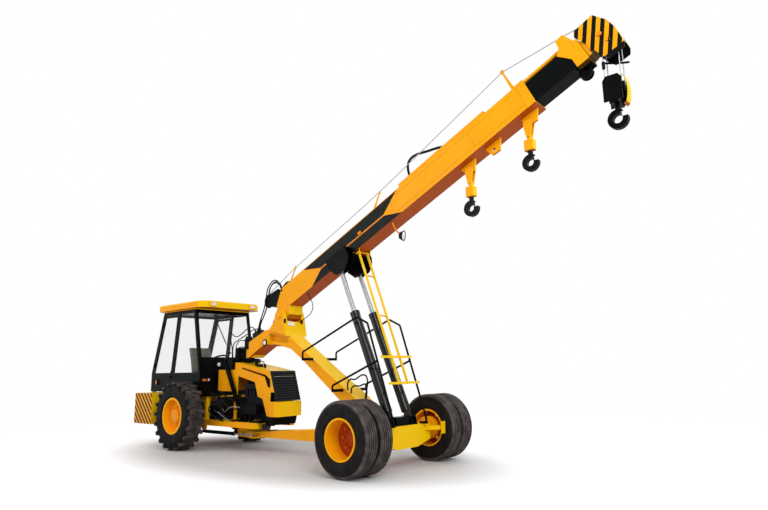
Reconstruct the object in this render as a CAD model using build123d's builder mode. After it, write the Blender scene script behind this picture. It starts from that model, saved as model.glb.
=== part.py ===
from build123d import *
from math import atan2, cos, degrees, hypot, radians, sin, tan
import os

# Articulated pick-and-carry mobile crane, in millimetres.
# X forward, Y to the left, Z up, Z = 0 on the ground, origin under the middle of the machine.
# Side views are drawn in X (from the front axle, positive forward) and Z.
# Boom views are drawn in s (along the boom, from its foot pin) and t (square to the boom, upwards).

os.makedirs("parts", exist_ok=True)

# ---------------------------------------------------------------- driving dimensions
running = 0.08          # radial clearance of a turning pin in its bore
seat_gap = 0.3          # clearance of a piece that lies against its carrier
slide_gap = 0.5         # clearance of a wear pad or rod in what it slides in
moving_gap = 8.0        # clearance between pieces that pass each other

wheelbase = 4646.0
overall_width = 2520.0

front_tyre_od = 1018.0
front_tyre_width = 258.0
dual_spacing = 294.0
front_bead_radius = 268.0
front_flange_radius = 283.0

rear_tyre_od = 1244.0
rear_tyre_width = 345.0
rear_track_half = 840.0
rear_bead_radius = 306.0
rear_flange_radius = 332.0

steer_axis_x = -3560.0          # vertical pins that join the two halves of the machine
steer_pin_radius = 40.0

boom_pivot_x = -2500.0
boom_pivot_z = 2400.0
boom_rest_angle = 25.28
boom_pin_radius = 45.0

base_half_width = 157.5
base_bottom_t = 73.0
base_depth = 394.0
base_wall = 9.0
base_end_s = 5650.0
collar = 8.0                    # thickness of the collar round the mouth

second_half_width = 131.0
second_bottom_t = 88.0
second_depth = 322.0
second_wall = 8.0
second_start_s = 1250.0
second_end_s = 6480.0

fly_half_width = 106.0
fly_bottom_t = 112.0
fly_depth = 262.0
fly_wall = 8.0
fly_start_s = 1700.0
fly_end_s = 6660.0

head_plate = 12.0
head_half_width = fly_half_width + seat_gap + head_plate
sheave_s = 6760.0
sheave_t = 120.0
sheave_radius = 78.0

cab_half_width = 640.0
cab_sill_z = 1410.0
cab_header_z = 2640.0
cab_floor_z = 960.0
cab_skin = 30.0
post = 60.0

hood_half_width = 275.0
hood_skin = 12.0

lift_spacing = 220.0            # each lift cylinder from the middle of the machine
lift_base_x = 30.0
lift_base_z = 670.0
lift_eye_s = 1650.0
lift_eye_t = 30.0
lift_barrel_radius = 75.0
lift_barrel_bore = 58.0
lift_rod_radius = 38.0
lift_barrel_length = 1790.0
lift_pin_radius = 32.0

# ---------------------------------------------------------------- the boom's frame, and the origin
boom_cos = cos(radians(boom_rest_angle))
boom_sin = sin(radians(boom_rest_angle))


def boom_x(s, t):
    """X from the front axle of a point of the boom at rest."""
    return boom_pivot_x + s * boom_cos - t * boom_sin


def boom_z(s, t):
    """Height of a point of the boom at rest."""
    return boom_pivot_z + s * boom_sin + t * boom_cos


# boom head, side outline (s, t)
head_outline = [
    (6465, 470), (6500, 550), (6780, 560), (6880, 360),
    (6905, 190), (6890, -50), (6850, -120), (6650, -112), (6605, -20), (6535, 260),
]
counterweight_rear_x = -wheelbase - 1504.0
front_reach = max(boom_x(s, t) for s, t in head_outline)
rear_reach = counterweight_rear_x
front_axle_x = -(front_reach + rear_reach) / 2


def side_plane(y=0.0):
    """Side view at y: X from the front axle, Z up, looking along +Y."""
    return Plane((front_axle_x, y, 0), x_dir=(1, 0, 0), z_dir=(0, -1, 0))


def plan_plane(z):
    """Plan at height z: X from the front axle, Y to the left."""
    return Plane((front_axle_x, 0, z), x_dir=(1, 0, 0), z_dir=(0, 0, 1))


def cross_plane(x, z=0.0):
    """Cross-section at x from the front axle: Y to the left, Z up, looking along -X."""
    return Plane((front_axle_x + x, 0, z), x_dir=(0, 1, 0), z_dir=(1, 0, 0))


def boom_side(y=0.0):
    """Side view of the boom at y: s along it, t square to it."""
    return Plane(
        (front_axle_x + boom_pivot_x, y, boom_pivot_z), x_dir=(boom_cos, 0, boom_sin), z_dir=(0, -1, 0)
    )


def boom_section(s):
    """Cross-section of the boom at s: Y to the left, t upwards."""
    return Plane(
        (front_axle_x + boom_x(s, 0), 0, boom_z(s, 0)), x_dir=(0, 1, 0), z_dir=(boom_cos, 0, boom_sin)
    )


def slab(u_low, u_high, v_low, v_high, mode=Mode.ADD):
    """Rectangle of the running sketch, by its edges."""
    with Locations(((u_low + u_high) / 2, (v_low + v_high) / 2)):
        Rectangle(u_high - u_low, v_high - v_low, mode=mode)


# ---------------------------------------------------------------- front frame (the root of the machine)
frame_half_width = 250.0
leg_half_width = 170.0
tongue_half_width = 120.0
tongue_bottom_z = 1668.0
tongue_top_z = 1822.0
tongue_radius = 120.0
yoke_top_radius = 88.0
leg_end_x = steer_axis_x + yoke_top_radius + 12
mast_top_z = 2280.0
ear_inner_y = base_half_width + 12.0
ear_top_z = 2480.0
beam_top_z = 604.0
beam_bottom_z = 284.0
beam_half_depth = 170.0

# crown and front leg, with the rear leg: (x, z)
arch_outline = [
    (-250, beam_top_z), (-760, 1010), (-1380, 1400), (-2250, 1975), (-2330, 2060), (-2400, 2200),
    (-2700, 2180), (-2780, 2155), (-2973, 2157), (leg_end_x, 1955), (leg_end_x, tongue_bottom_z),
    (-3060, 1870), (-2970, 1890), (-2640, 1885), (-2250, 1790), (-1950, 1600), (-1120, 990), (-600, beam_top_z),
]
mast_outline = [
    (-2300, 2020), (-2335, 2100), (-2360, mast_top_z), (-2640, mast_top_z), (-2744, 2180), (-2790, 2150),
]
pocket_outline = [(-2860, 2090), (-2400, 2000), (-2290, 1925), (-2420, 1905), (-2640, 1935), (-2850, 1950)]
pocket_depth = 80.0
boss_x = -2900.0
boss_z = 1925.0
boss_radius = 60.0

with BuildPart() as front_frame:
    with BuildSketch(side_plane()):
        with BuildLine():
            Polyline(*arch_outline, close=True)
        make_face()
    extrude(amount=leg_half_width, both=True)
    with BuildSketch(side_plane()):
        with BuildLine():
            Polyline(*mast_outline, close=True)
        make_face()
    extrude(amount=frame_half_width, both=True)
    # ears that carry the boom's foot pin
    for ear_y in (ear_inner_y, -frame_half_width):
        with BuildSketch(side_plane(ear_y + frame_half_width - ear_inner_y)):
            with BuildLine():
                Polyline(
                    (-2360, mast_top_z - 10), (-2405, ear_top_z - 40), (-2440, ear_top_z),
                    (-2560, ear_top_z), (-2600, ear_top_z - 40), (-2640, mast_top_z - 10), close=True,
                )
            make_face()
        extrude(amount=frame_half_width - ear_inner_y)
    # tongue with the upper steering pin's bore
    with BuildSketch(plan_plane(tongue_bottom_z)):
        with Locations((steer_axis_x, 0)):
            Circle(tongue_radius)
        with Locations(((steer_axis_x + leg_end_x + 100) / 2, 0)):
            Rectangle(leg_end_x + 100 - steer_axis_x, 2 * tongue_half_width)
    extrude(amount=tongue_top_z - tongue_bottom_z)
    with BuildSketch(plan_plane(tongue_bottom_z)):
        with Locations((steer_axis_x, 0)):
            Circle(steer_pin_radius + running)
    extrude(amount=tongue_top_z - tongue_bottom_z, mode=Mode.SUBTRACT)
    # pockets in the crown's sides
    for face_y in (-leg_half_width + pocket_depth, leg_half_width):
        with BuildSketch(side_plane(face_y)):
            with BuildLine():
                Polyline(*pocket_outline, close=True)
            make_face()
        extrude(amount=pocket_depth, mode=Mode.SUBTRACT)
    # round boss through the rear leg
    with BuildSketch(side_plane()):
        with Locations((boss_x, boss_z)):
            Circle(boss_radius)
    extrude(amount=leg_half_width + 60, both=True)
    # bore for the boom's foot pin
    with BuildSketch(side_plane()):
        with Locations((boom_pivot_x, boom_pivot_z)):
            Circle(boom_pin_radius + running)
    extrude(amount=frame_half_width + 1, both=True, mode=Mode.SUBTRACT)
front_frame.part.label = "front_frame"
export_step(front_frame.part, "parts/front_frame.step")

pin_head = 12.0
with BuildPart() as boom_pin:
    with BuildSketch(side_plane()):
        with Locations((boom_pivot_x, boom_pivot_z)):
            Circle(boom_pin_radius)
    extrude(amount=frame_half_width + seat_gap, both=True)
    for head_y in (-frame_half_width - seat_gap, frame_half_width + seat_gap + pin_head):
        with BuildSketch(side_plane(head_y)):
            with Locations((boom_pivot_x, boom_pivot_z)):
                Circle(boom_pin_radius + 20)
        extrude(amount=pin_head)
boom_pin.part.label = "boom_pin"
export_step(boom_pin.part, "parts/boom_pin.step")

# front axle beam, with spindles for the dual wheels
spindle_radius = 50.0
spindle_end_y = 900.0
beam_taper_y = 240.0
beam_end_y = 560.0
beam_end_z = 370.0
backing_radius = 170.0
backing_y = 690.0
front_hub_inner_y = backing_y + 8

with BuildPart() as axle_beam:
    with BuildSketch(cross_plane(-beam_half_depth)):
        with BuildLine():
            Polyline(
                (-beam_end_y, beam_top_z), (beam_end_y, beam_top_z), (beam_end_y, beam_end_z),
                (beam_taper_y, beam_bottom_z), (-beam_taper_y, beam_bottom_z), (-beam_end_y, beam_end_z),
                close=True,
            )
        make_face()
    extrude(amount=2 * beam_half_depth)
    for side in (-1, 1):
        with BuildSketch(side_plane(side * beam_end_y)):
            with Locations((0, front_tyre_od / 2)):
                Circle(90)
        extrude(amount=-side * (backing_y - beam_end_y))
        with BuildSketch(side_plane(side * (backing_y - 15))):
            with Locations((0, front_tyre_od / 2)):
                Circle(backing_radius)
        extrude(amount=-side * 15)
        with BuildSketch(side_plane(side * backing_y)):
            with Locations((0, front_tyre_od / 2)):
                Circle(spindle_radius)
        extrude(amount=-side * (spindle_end_y - backing_y))
        # bracket arm and plate ahead of the wheel
        with BuildSketch(plan_plane(505)):
            with BuildLine():
                Polyline(
                    (beam_half_depth - 20, side * 400), (beam_half_depth - 20, side * 520),
                    (345, side * 655), (345, side * 610), close=True,
                )
            make_face()
        extrude(amount=60)
        with BuildSketch(plan_plane(445)):
            with Locations((352, side * 645)):
                Rectangle(14, 100)
        extrude(amount=180)
axle_beam.part.label = "axle_beam"
export_step(axle_beam.part, "parts/axle_beam.step")

# black clevis blocks on the beam that hold the feet of the lift cylinders
clevis_half = 34.0
cheek = 30.0
with BuildPart() as cylinder_feet:
    for side in (-1, 1):
        for flank in (-1, 1):
            cheek_y = side * lift_spacing + flank * (clevis_half + cheek / 2)
            with BuildSketch(side_plane(cheek_y + cheek / 2)):
                with BuildLine():
                    Polyline(
                        (lift_base_x - 110, beam_top_z), (lift_base_x + 110, beam_top_z),
                        (lift_base_x + 80, 730), (lift_base_x - 80, 730), close=True,
                    )
                make_face()
                with Locations((lift_base_x, lift_base_z)):
                    Circle(lift_pin_radius + running, mode=Mode.SUBTRACT)
            extrude(amount=cheek)
        with BuildSketch(side_plane(side * lift_spacing)):
            with Locations((lift_base_x, lift_base_z)):
                Circle(lift_pin_radius)
        extrude(amount=clevis_half + cheek + 10, both=True)
    with BuildSketch(plan_plane(beam_top_z)):
        with Locations((lift_base_x, 0)):
            Rectangle(150, 2 * (lift_spacing - clevis_half - cheek))
    extrude(amount=120)
    with BuildSketch(plan_plane(beam_top_z)):
        with Locations((lift_base_x, 0)):
            Rectangle(220, 2 * (lift_spacing + clevis_half + cheek))
    extrude(amount=12)
cylinder_feet.part.label = "cylinder_feet"
export_step(cylinder_feet.part, "parts/cylinder_feet.step")

# drawbar under the rear half, with the lower steering pin's bore and the steering ears
drawbar_tip_z = 340.0
drawbar_bottom_z = 252.0
drawbar_front_top_z = 460.0
drawbar_tip_radius = 95.0
drawbar_half_width = 170.0
steer_ear_x = -3150.0
steer_ear_y = 280.0
steer_cyl_z = 300.0
steer_ear_gap = 34.0

with BuildPart() as drawbar:
    with BuildSketch(side_plane()):
        with BuildLine():
            Polyline(
                (steer_axis_x - drawbar_tip_radius, drawbar_bottom_z), (-beam_half_depth, drawbar_bottom_z + 40),
                (-beam_half_depth, drawbar_front_top_z + 100), (-1690, drawbar_front_top_z),
                (-3200, drawbar_tip_z + 5), (-3300, drawbar_tip_z),
                (steer_axis_x - drawbar_tip_radius, drawbar_tip_z), close=True,
            )
        make_face()
    extrude(amount=drawbar_half_width, both=True)
    with BuildSketch(plan_plane(drawbar_bottom_z - 10)):
        with Locations((steer_axis_x, 0)):
            Circle(drawbar_tip_radius)
        with BuildLine():
            Polyline(
                (steer_axis_x, -drawbar_tip_radius), (steer_axis_x + 420, -drawbar_half_width),
                (0, -drawbar_half_width), (0, drawbar_half_width),
                (steer_axis_x + 420, drawbar_half_width), (steer_axis_x, drawbar_tip_radius), close=True,
            )
        make_face()
    extrude(amount=600, mode=Mode.INTERSECT)
    for side in (-1, 1):
        for plate_z in (steer_cyl_z - steer_ear_gap - 14, steer_cyl_z + steer_ear_gap):
            with BuildSketch(plan_plane(plate_z)):
                with BuildLine():
                    Polyline(
                        (steer_ear_x - 60, side * (steer_ear_y + 25)), (steer_ear_x + 60, side * (steer_ear_y + 25)),
                        (steer_ear_x + 130, side * (drawbar_half_width - 10)),
                        (steer_ear_x - 100, side * (drawbar_half_width - 10)), close=True,
                    )
                make_face()
            extrude(amount=14)
    with BuildSketch(plan_plane(drawbar_bottom_z - 10)):
        with Locations((steer_axis_x, 0)):
            Circle(steer_pin_radius + running)
    extrude(amount=200, mode=Mode.SUBTRACT)
drawbar.part.label = "drawbar"
export_step(drawbar.part, "parts/drawbar.step")

# black handrails beside the front leg
rail_radius = 16.0
rail_y = 390.0
rail_foot = 22.0
rail_paths = [
    [(-1700, 1580), (-1700, 1720), (-470, 2215), (-250, 2110), (225, 690), (225, beam_top_z + seat_gap)],
    [(-1000, 1080), (-1000, 1180), (-55, 1548)],
]

with BuildPart() as handrails:
    for side in (-1, 1):
        for path in rail_paths:
            with BuildLine(side_plane(side * rail_y)) as rail:
                FilletPolyline(*path, radius=40)
            with BuildSketch(Plane(origin=rail.line @ 0, z_dir=rail.line % 0)):
                Circle(rail_radius)
            sweep(path=rail.line)
            # foot that reaches the leg's side
            with BuildSketch(side_plane(side * (leg_half_width + seat_gap))):
                with Locations((path[0][0], path[0][1] + rail_foot)):
                    Rectangle(2 * rail_foot, 2 * rail_foot)
            extrude(amount=-side * (rail_y - leg_half_width))
        with BuildSketch(plan_plane(beam_top_z + seat_gap)):
            with Locations((180, side * rail_y)):
                Rectangle(130, 50)
        extrude(amount=30)
handrails.part.label = "handrails"
export_step(handrails.part, "parts/handrails.step")

# ---------------------------------------------------------------- wheels
def tyre_profile(centre_y, width, outer, bead, flange):
    """Half section of a tyre: (y, radius) corners from the bead over the tread and back."""
    half = width / 2
    foot = 0.42 * width
    wall = outer - flange
    right = [
        (foot, bead), (foot, flange + 4), (half, flange + 0.18 * wall), (half, flange + 0.60 * wall),
        (0.44 * width, flange + 0.88 * wall), (0.34 * width, outer),
    ]
    left = [(-y, radius) for y, radius in reversed(right)]
    return [(centre_y + y, radius) for y, radius in right + left]


front_axle_z = front_tyre_od / 2
rear_axle_z = rear_tyre_od / 2
lug_height = 30.0
lug_count = 20                  # lugs on each side of the tread
lug_length = 62.0               # along the tread
lug_reach = 12.0                # past the tread's middle
lug_slant = 34.0                # how far the inner end leads the outer one
outer_tyre_y = (overall_width - front_tyre_width) / 2
inner_tyre_y = outer_tyre_y - dual_spacing
rim_skin = 9.0
hub_end_y = 1030.0
hub_radius = 95.0
disc_hole_pitch = 168.0
disc_hole_radius = 25.0

for side_name, side in (("right", -1), ("left", 1)):
    front_axis = Axis((front_axle_x, 0, front_axle_z), (0, 1, 0))
    front_wheel_plane = Plane((front_axle_x, 0, front_axle_z), x_dir=(0, 1, 0), z_dir=(1, 0, 0))
    with BuildPart() as front_tyres:
        with BuildSketch(front_wheel_plane):
            for centre in (outer_tyre_y, inner_tyre_y):
                corners = tyre_profile(
                    side * centre, front_tyre_width, front_tyre_od / 2,
                    front_bead_radius + seat_gap, front_flange_radius,
                )
                with BuildLine():
                    Polyline(*corners, close=True)
                make_face()
        revolve(axis=front_axis)
    front_tyres.part.label = f"front_tyres_{side_name}"
    export_step(front_tyres.part, f"parts/front_tyres_{side_name}.step")

    # two dished discs bolted back to back on one hub
    with BuildPart() as front_rims:
        with BuildSketch(front_wheel_plane):
            for centre in (outer_tyre_y, inner_tyre_y):
                barrel_half = 0.42 * front_tyre_width
                with Locations((side * centre, front_bead_radius - rim_skin / 2)):
                    Rectangle(2 * barrel_half + 2 * rim_skin, rim_skin)
                for edge in (-1, 1):
                    with Locations((side * centre + edge * (barrel_half + rim_skin / 2 + seat_gap),
                                    (front_flange_radius + front_bead_radius - rim_skin) / 2)):
                        Rectangle(rim_skin, front_flange_radius - front_bead_radius + rim_skin)
            disc_y = (outer_tyre_y + inner_tyre_y) / 2
            for disc_shift in (-9, 9):
                with Locations((side * (disc_y + disc_shift), (front_bead_radius + spindle_radius) / 2)):
                    Rectangle(18, front_bead_radius - spindle_radius - rim_skin - 2)
            # ring that joins the two barrels to the discs
            with Locations((side * disc_y, front_bead_radius - rim_skin / 2 - 0.5)):
                Rectangle(70, rim_skin - 1)
            with Locations((side * (front_hub_inner_y + hub_end_y) / 2, (spindle_radius + running + hub_radius) / 2)):
                Rectangle(hub_end_y - front_hub_inner_y, hub_radius - spindle_radius - running)
            with Locations((side * (hub_end_y - 20), hub_radius / 2)):
                Rectangle(40, hub_radius - 1)
            with Locations((side * (front_hub_inner_y + 60), hub_radius + 35)):
                Rectangle(120, 80)
        revolve(axis=front_axis)
        with BuildSketch(side_plane(side * (disc_y + 40))):
            with Locations((0, front_axle_z)):
                with PolarLocations(disc_hole_pitch, 8):
                    Circle(disc_hole_radius)
        extrude(amount=side * 80, mode=Mode.SUBTRACT)
    front_rims.part.label = f"front_rims_{side_name}"
    export_step(front_rims.part, f"parts/front_rims_{side_name}.step")

    rear_axis = Axis((front_axle_x - wheelbase, 0, rear_axle_z), (0, 1, 0))
    rear_wheel_plane = Plane((front_axle_x - wheelbase, 0, rear_axle_z), x_dir=(0, 1, 0), z_dir=(1, 0, 0))
    with BuildPart() as rear_tyre:
        with BuildSketch(rear_wheel_plane):
            corners = tyre_profile(
                side * rear_track_half, rear_tyre_width, rear_tyre_od / 2 - lug_height,
                rear_bead_radius + seat_gap, rear_flange_radius,
            )
            with BuildLine():
                Polyline(*corners, close=True)
            make_face()
        revolve(axis=rear_axis)
        # slanted lugs from each shoulder past the middle, staggered from side to side
        half = rear_tyre_width / 2
        for row, first_angle in ((-1, 0.0), (1, 180.0 / lug_count)):
            for index in range(lug_count):
                angle = first_angle + index * 360.0 / lug_count
                lug_plane = Plane(
                    (
                        front_axle_x - wheelbase + (rear_tyre_od / 2 - lug_height - 45) * sin(radians(angle)),
                        side * rear_track_half, rear_axle_z + (rear_tyre_od / 2 - lug_height - 45) * cos(radians(angle)),
                    ),
                    x_dir=(0, 1, 0), z_dir=(sin(radians(angle)), 0, cos(radians(angle))),
                )
                with BuildSketch(lug_plane):
                    with BuildLine():
                        Polyline(
                            (-row * lug_reach, lug_slant / 2 - lug_length * 0.4),
                            (row * half * 0.99, -lug_slant / 2 - lug_length / 2),
                            (row * half * 0.99, -lug_slant / 2 + lug_length / 2),
                            (-row * lug_reach, lug_slant / 2 + lug_length * 0.4), close=True,
                        )
                    make_face()
                extrude(amount=45 + lug_height - 2)
    rear_tyre.part.label = f"rear_tyre_{side_name}"
    export_step(rear_tyre.part, f"parts/rear_tyre_{side_name}.step")

    with BuildPart() as rear_rim:
        with BuildSketch(rear_wheel_plane):
            barrel_half = 0.42 * rear_tyre_width
            with Locations((side * rear_track_half, rear_bead_radius - rim_skin / 2)):
                Rectangle(2 * barrel_half + 2 * rim_skin, rim_skin)
            for edge in (-1, 1):
                with Locations((side * rear_track_half + edge * (barrel_half + rim_skin / 2 + seat_gap),
                                (rear_flange_radius + rear_bead_radius - rim_skin) / 2)):
                    Rectangle(rim_skin, rear_flange_radius - rear_bead_radius + rim_skin)
            with Locations((side * (rear_track_half + 20), (rear_bead_radius + spindle_radius) / 2)):
                Rectangle(18, rear_bead_radius - spindle_radius - rim_skin + 8)
            with Locations((side * (rear_track_half + 10), (spindle_radius + running + 125) / 2)):
                Rectangle(160, 125 - spindle_radius - running)
            with Locations((side * (rear_track_half + 80), 50)):
                Rectangle(30, 100)
        revolve(axis=rear_axis)
    rear_rim.part.label = f"rear_rim_{side_name}"
    export_step(rear_rim.part, f"parts/rear_rim_{side_name}.step")

# ---------------------------------------------------------------- rear unit: chassis and axle
bar_half = 55.0
bar_y = 400.0
bar_bottom_z = 430.0
bar_top_z = 528.0
chassis_rear_x = -wheelbase - 1434.0
chassis_front_x = -2860.0
lower_plate = 26.0
axle_tube_radius = 61.5
axle_case_length = 420.0
axle_case_height = 380.0

with BuildPart() as rear_chassis:
    with BuildSketch(plan_plane(bar_bottom_z)):
        for side in (-1, 1):
            with Locations(((chassis_rear_x + chassis_front_x) / 2, side * bar_y)):
                Rectangle(chassis_front_x - chassis_rear_x, 2 * bar_half)
        for cross_x in (-wheelbase - 1304, -wheelbase - 554, -wheelbase + 526):
            with Locations((cross_x, 0)):
                Rectangle(150, 2 * bar_y)
        with Locations((steer_axis_x - 90, 0)):
            Rectangle(330, 2 * bar_y)
    extrude(amount=bar_top_z - bar_bottom_z)
    # clevis round the drawbar's tip
    with BuildSketch(plan_plane(drawbar_tip_z + moving_gap / 2)):
        with Locations((steer_axis_x, 0)):
            Circle(drawbar_tip_radius)
            Rectangle(150, 400)
    extrude(amount=bar_bottom_z - drawbar_tip_z - moving_gap / 2)
    with BuildSketch(plan_plane(drawbar_bottom_z - moving_gap / 2 - lower_plate)):
        with Locations((steer_axis_x, 0)):
            Circle(drawbar_tip_radius)
        with Locations((steer_axis_x - 130, 0)):
            Rectangle(260, 2 * drawbar_tip_radius)
    extrude(amount=lower_plate)
    with BuildSketch(plan_plane(drawbar_bottom_z - moving_gap / 2 - lower_plate)):
        with Locations((steer_axis_x - 225, 0)):
            Rectangle(70, 2 * drawbar_tip_radius)
    extrude(amount=bar_bottom_z - drawbar_bottom_z + moving_gap / 2 + lower_plate)
    # lower steering pin
    with BuildSketch(plan_plane(drawbar_bottom_z - moving_gap / 2 - lower_plate - 10)):
        with Locations((steer_axis_x, 0)):
            Circle(steer_pin_radius)
    extrude(amount=drawbar_tip_z - drawbar_bottom_z + 2 * moving_gap + lower_plate)
    # rear ears of the steering cylinders
    for side in (-1, 1):
        with BuildSketch(side_plane(side * 345 + 20)):
            with BuildLine():
                Polyline(
                    (-4640, bar_bottom_z), (-4480, bar_bottom_z), (-4510, steer_cyl_z + 32),
                    (-4610, steer_cyl_z + 32), close=True,
                )
            make_face()
        extrude(amount=40)
        with BuildSketch(plan_plane(steer_cyl_z - 26)):
            with Locations((-4560, side * 345)):
                Circle(18)
        extrude(amount=80)
    # posts that carry the cab
    with BuildSketch(plan_plane(bar_top_z)):
        for mount_x in (-5410, -4400):
            for side in (-1, 1):
                with Locations((mount_x, side * bar_y)):
                    Rectangle(60, 80)
    extrude(amount=cab_floor_z - bar_top_z - seat_gap)
    # side gussets that carry the axle
    for side in (-1, 1):
        with BuildSketch(plan_plane(bar_top_z)):
            with Locations((-wheelbase, side * bar_y)):
                Rectangle(260, 60)
        extrude(amount=rear_axle_z - axle_tube_radius - seat_gap - bar_top_z)
rear_chassis.part.label = "rear_chassis"
export_step(rear_chassis.part, "parts/rear_chassis.step")

with BuildPart() as rear_axle:
    with BuildSketch(side_plane()):
        with Locations((-wheelbase, rear_axle_z)):
            Circle(axle_tube_radius)
    extrude(amount=640, both=True)
    with BuildSketch(side_plane()):
        with Locations((-wheelbase, rear_axle_z)):
            Circle(spindle_radius)
    extrude(amount=rear_track_half + 60, both=True)
    with BuildSketch(side_plane()):
        with Locations((-wheelbase, rear_axle_z + 20)):
            RectangleRounded(axle_case_length, axle_case_height, 80)
    extrude(amount=200, both=True)
    for side in (-1, 1):
        with BuildSketch(side_plane(side * 560)):
            with Locations((-wheelbase, rear_axle_z)):
                Circle(120)
        extrude(amount=-side * 80)
rear_axle.part.label = "rear_axle"
export_step(rear_axle.part, "parts/rear_axle.step")

counterweight_front_x = -wheelbase - 834.0
with BuildPart() as counterweight:
    with BuildSketch(side_plane()):
        with BuildLine():
            Polyline(
                (counterweight_rear_x, bar_top_z + seat_gap), (counterweight_rear_x, 1020),
                (counterweight_front_x, 1020), (counterweight_front_x, bar_top_z + seat_gap), close=True,
            )
        make_face()
    extrude(amount=950, both=True)
    for side in (-1, 1):
        with BuildSketch(side_plane(side * 950)):
            with Locations(((counterweight_rear_x + counterweight_front_x) / 2, 485)):
                Rectangle(counterweight_front_x - counterweight_rear_x, 110)
        extrude(amount=side * 480)
counterweight.part.label = "counterweight"
export_step(counterweight.part, "parts/counterweight.step")

# ---------------------------------------------------------------- rear unit: engine, hood, grille, weight
grille_top = (-2690, 1420)
grille_bottom = (-2510, 900.3)
hood_rear_x = -3720.0
hood_rear_z = 1585.0

with BuildPart() as engine:
    with BuildSketch(side_plane()):
        slab(-3510, -2800, 560, 1190)
    extrude(amount=190, both=True)
    with BuildSketch(side_plane()):
        slab(-4430, -3500, 560, 930)
    extrude(amount=165, both=True)
    with BuildSketch(side_plane()):
        slab(-2801, -2700, 650, 1330)
    extrude(amount=240, both=True)
    # forms that show at the open sides: name -> x, z, radius, reach from the block's side
    engine_drums = {
        "fuel filter": (-3440, 800, 42, 60), "oil filter": (-3330, 800, 42, 60), "starter": (-3160, 690, 55, 48),
        "pump": (-2990, 760, 62, 54), "alternator": (-2900, 1010, 68, 66), "timing cover": (-2920, 860, 95, 18),
    }
    for drum_x, drum_z, drum_radius, drum_reach in engine_drums.values():
        with BuildSketch(side_plane(190 + drum_reach)):
            with Locations((drum_x, drum_z)):
                Circle(drum_radius)
        extrude(amount=2 * (190 + drum_reach))
    # pipes along the block: name -> rear x, front x, y, z, radius
    engine_pipes = {
        "right manifold": (-3450, -2880, -212, 1120, 28), "left manifold": (-3450, -2880, 212, 1120, 28),
        "right fuel pipe": (-3480, -2960, -198, 940, 14), "left fuel pipe": (-3480, -2960, 198, 940, 14),
        "silencer": (-3480, -2900, -95, 1262, 76), "air filter": (-3300, -2900, 110, 1270, 84),
    }
    for rear_x, front_x, pipe_y, pipe_z, pipe_radius in engine_pipes.values():
        with BuildSketch(cross_plane(rear_x)):
            with Locations((pipe_y, pipe_z)):
                Circle(pipe_radius)
        extrude(amount=front_x - rear_x)
    # ribs of the inlet runners
    with BuildSketch(plan_plane(960)):
        for runner_x in range(-3420, -2900, 104):
            with Locations((runner_x, 0)):
                Rectangle(44, 424)
    extrude(amount=150)
    # feet on the chassis bars
    with BuildSketch(plan_plane(bar_top_z + seat_gap)):
        for foot_x in (-3550, -2980):
            with Locations((foot_x, 0)):
                Rectangle(70, 2 * bar_y)
    extrude(amount=30)
    with BuildSketch(plan_plane(bar_top_z + seat_gap)):
        for foot_x in (-3550, -2980):
            with Locations((foot_x, 0)):
                Rectangle(80, 200)
    extrude(amount=80)
engine.part.label = "engine"
export_step(engine.part, "parts/engine.step")

hood_outline = [
    (hood_rear_x, hood_rear_z), grille_top, (-2560, 1050), (-2660, 1050), (-2700, 640),
    (-2750, 640), (-2880, 935), (-3012, 972), (-3112, 1227), (-3625, 1337),
    (-3640, bar_top_z + seat_gap), (hood_rear_x, bar_top_z + seat_gap),
]
# long slot under the top that opens out towards the grille
hood_slot = [(-3514, 1466), (-2842, 1318), (-2750, 1140), (-2665, 1123), (-2672, 1272), (-2808, 1352), (-3508, 1494)]
# low rear part of the hood, between the engine and the cab
hood_tail_rear_x = -4250.0
hood_tail_top_z = 1453.0
hood_tail_low_z = 1055.0

with BuildPart() as hood:
    with BuildSketch(side_plane()):
        with BuildLine():
            Polyline(*hood_outline, close=True)
        make_face()
        slab(hood_tail_rear_x, hood_rear_x + 1, hood_tail_low_z, hood_tail_top_z)
    extrude(amount=hood_half_width, both=True)
    with BuildSketch(side_plane()):
        with BuildLine():
            Polyline(
                (hood_rear_x - 5, hood_rear_z - hood_skin), (grille_top[0] + 5, grille_top[1] - hood_skin),
                (-2400, 1000), (-2500, 490), (hood_rear_x - 5, 490), close=True,
            )
        make_face()
        slab(hood_tail_rear_x + hood_skin, hood_rear_x, 490, hood_tail_top_z - hood_skin)
    extrude(amount=hood_half_width - hood_skin, both=True, mode=Mode.SUBTRACT)
    with BuildSketch(side_plane()):
        with BuildLine():
            Polyline(*hood_slot, close=True)
        make_face()
    extrude(amount=hood_half_width + 1, both=True, mode=Mode.SUBTRACT)
hood.part.label = "hood"
export_step(hood.part, "parts/hood.step")

grille_slats = 11
with BuildPart() as grille:
    with BuildSketch(side_plane()):
        with BuildLine():
            Polyline(
                (grille_top[0] + 0.4, grille_top[1]), (grille_top[0] + 45, grille_top[1] - 5),
                (grille_bottom[0] + 30, grille_bottom[1]), (grille_bottom[0] - 30, grille_bottom[1]),
                (-2559.6, 1050), close=True,
            )
        make_face()
    extrude(amount=hood_half_width - 3, both=True)
    # grooves between the slats, square to the sloping front
    face_x, face_z = grille_bottom[0] + 30 - grille_top[0] - 45, grille_bottom[1] - grille_top[1] + 5
    face_length = hypot(face_x, face_z)
    with BuildSketch(side_plane()):
        for slat in range(grille_slats):
            share = (45 + slat * (face_length - 80) / (grille_slats - 1)) / face_length
            with Locations((grille_top[0] + 45 + share * face_x, grille_top[1] - 5 + share * face_z)):
                Rectangle(36, 20, rotation=degrees(atan2(face_x, -face_z)))
    extrude(amount=hood_half_width - 32, both=True, mode=Mode.SUBTRACT)
grille.part.label = "grille"
export_step(grille.part, "parts/grille.step")

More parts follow.
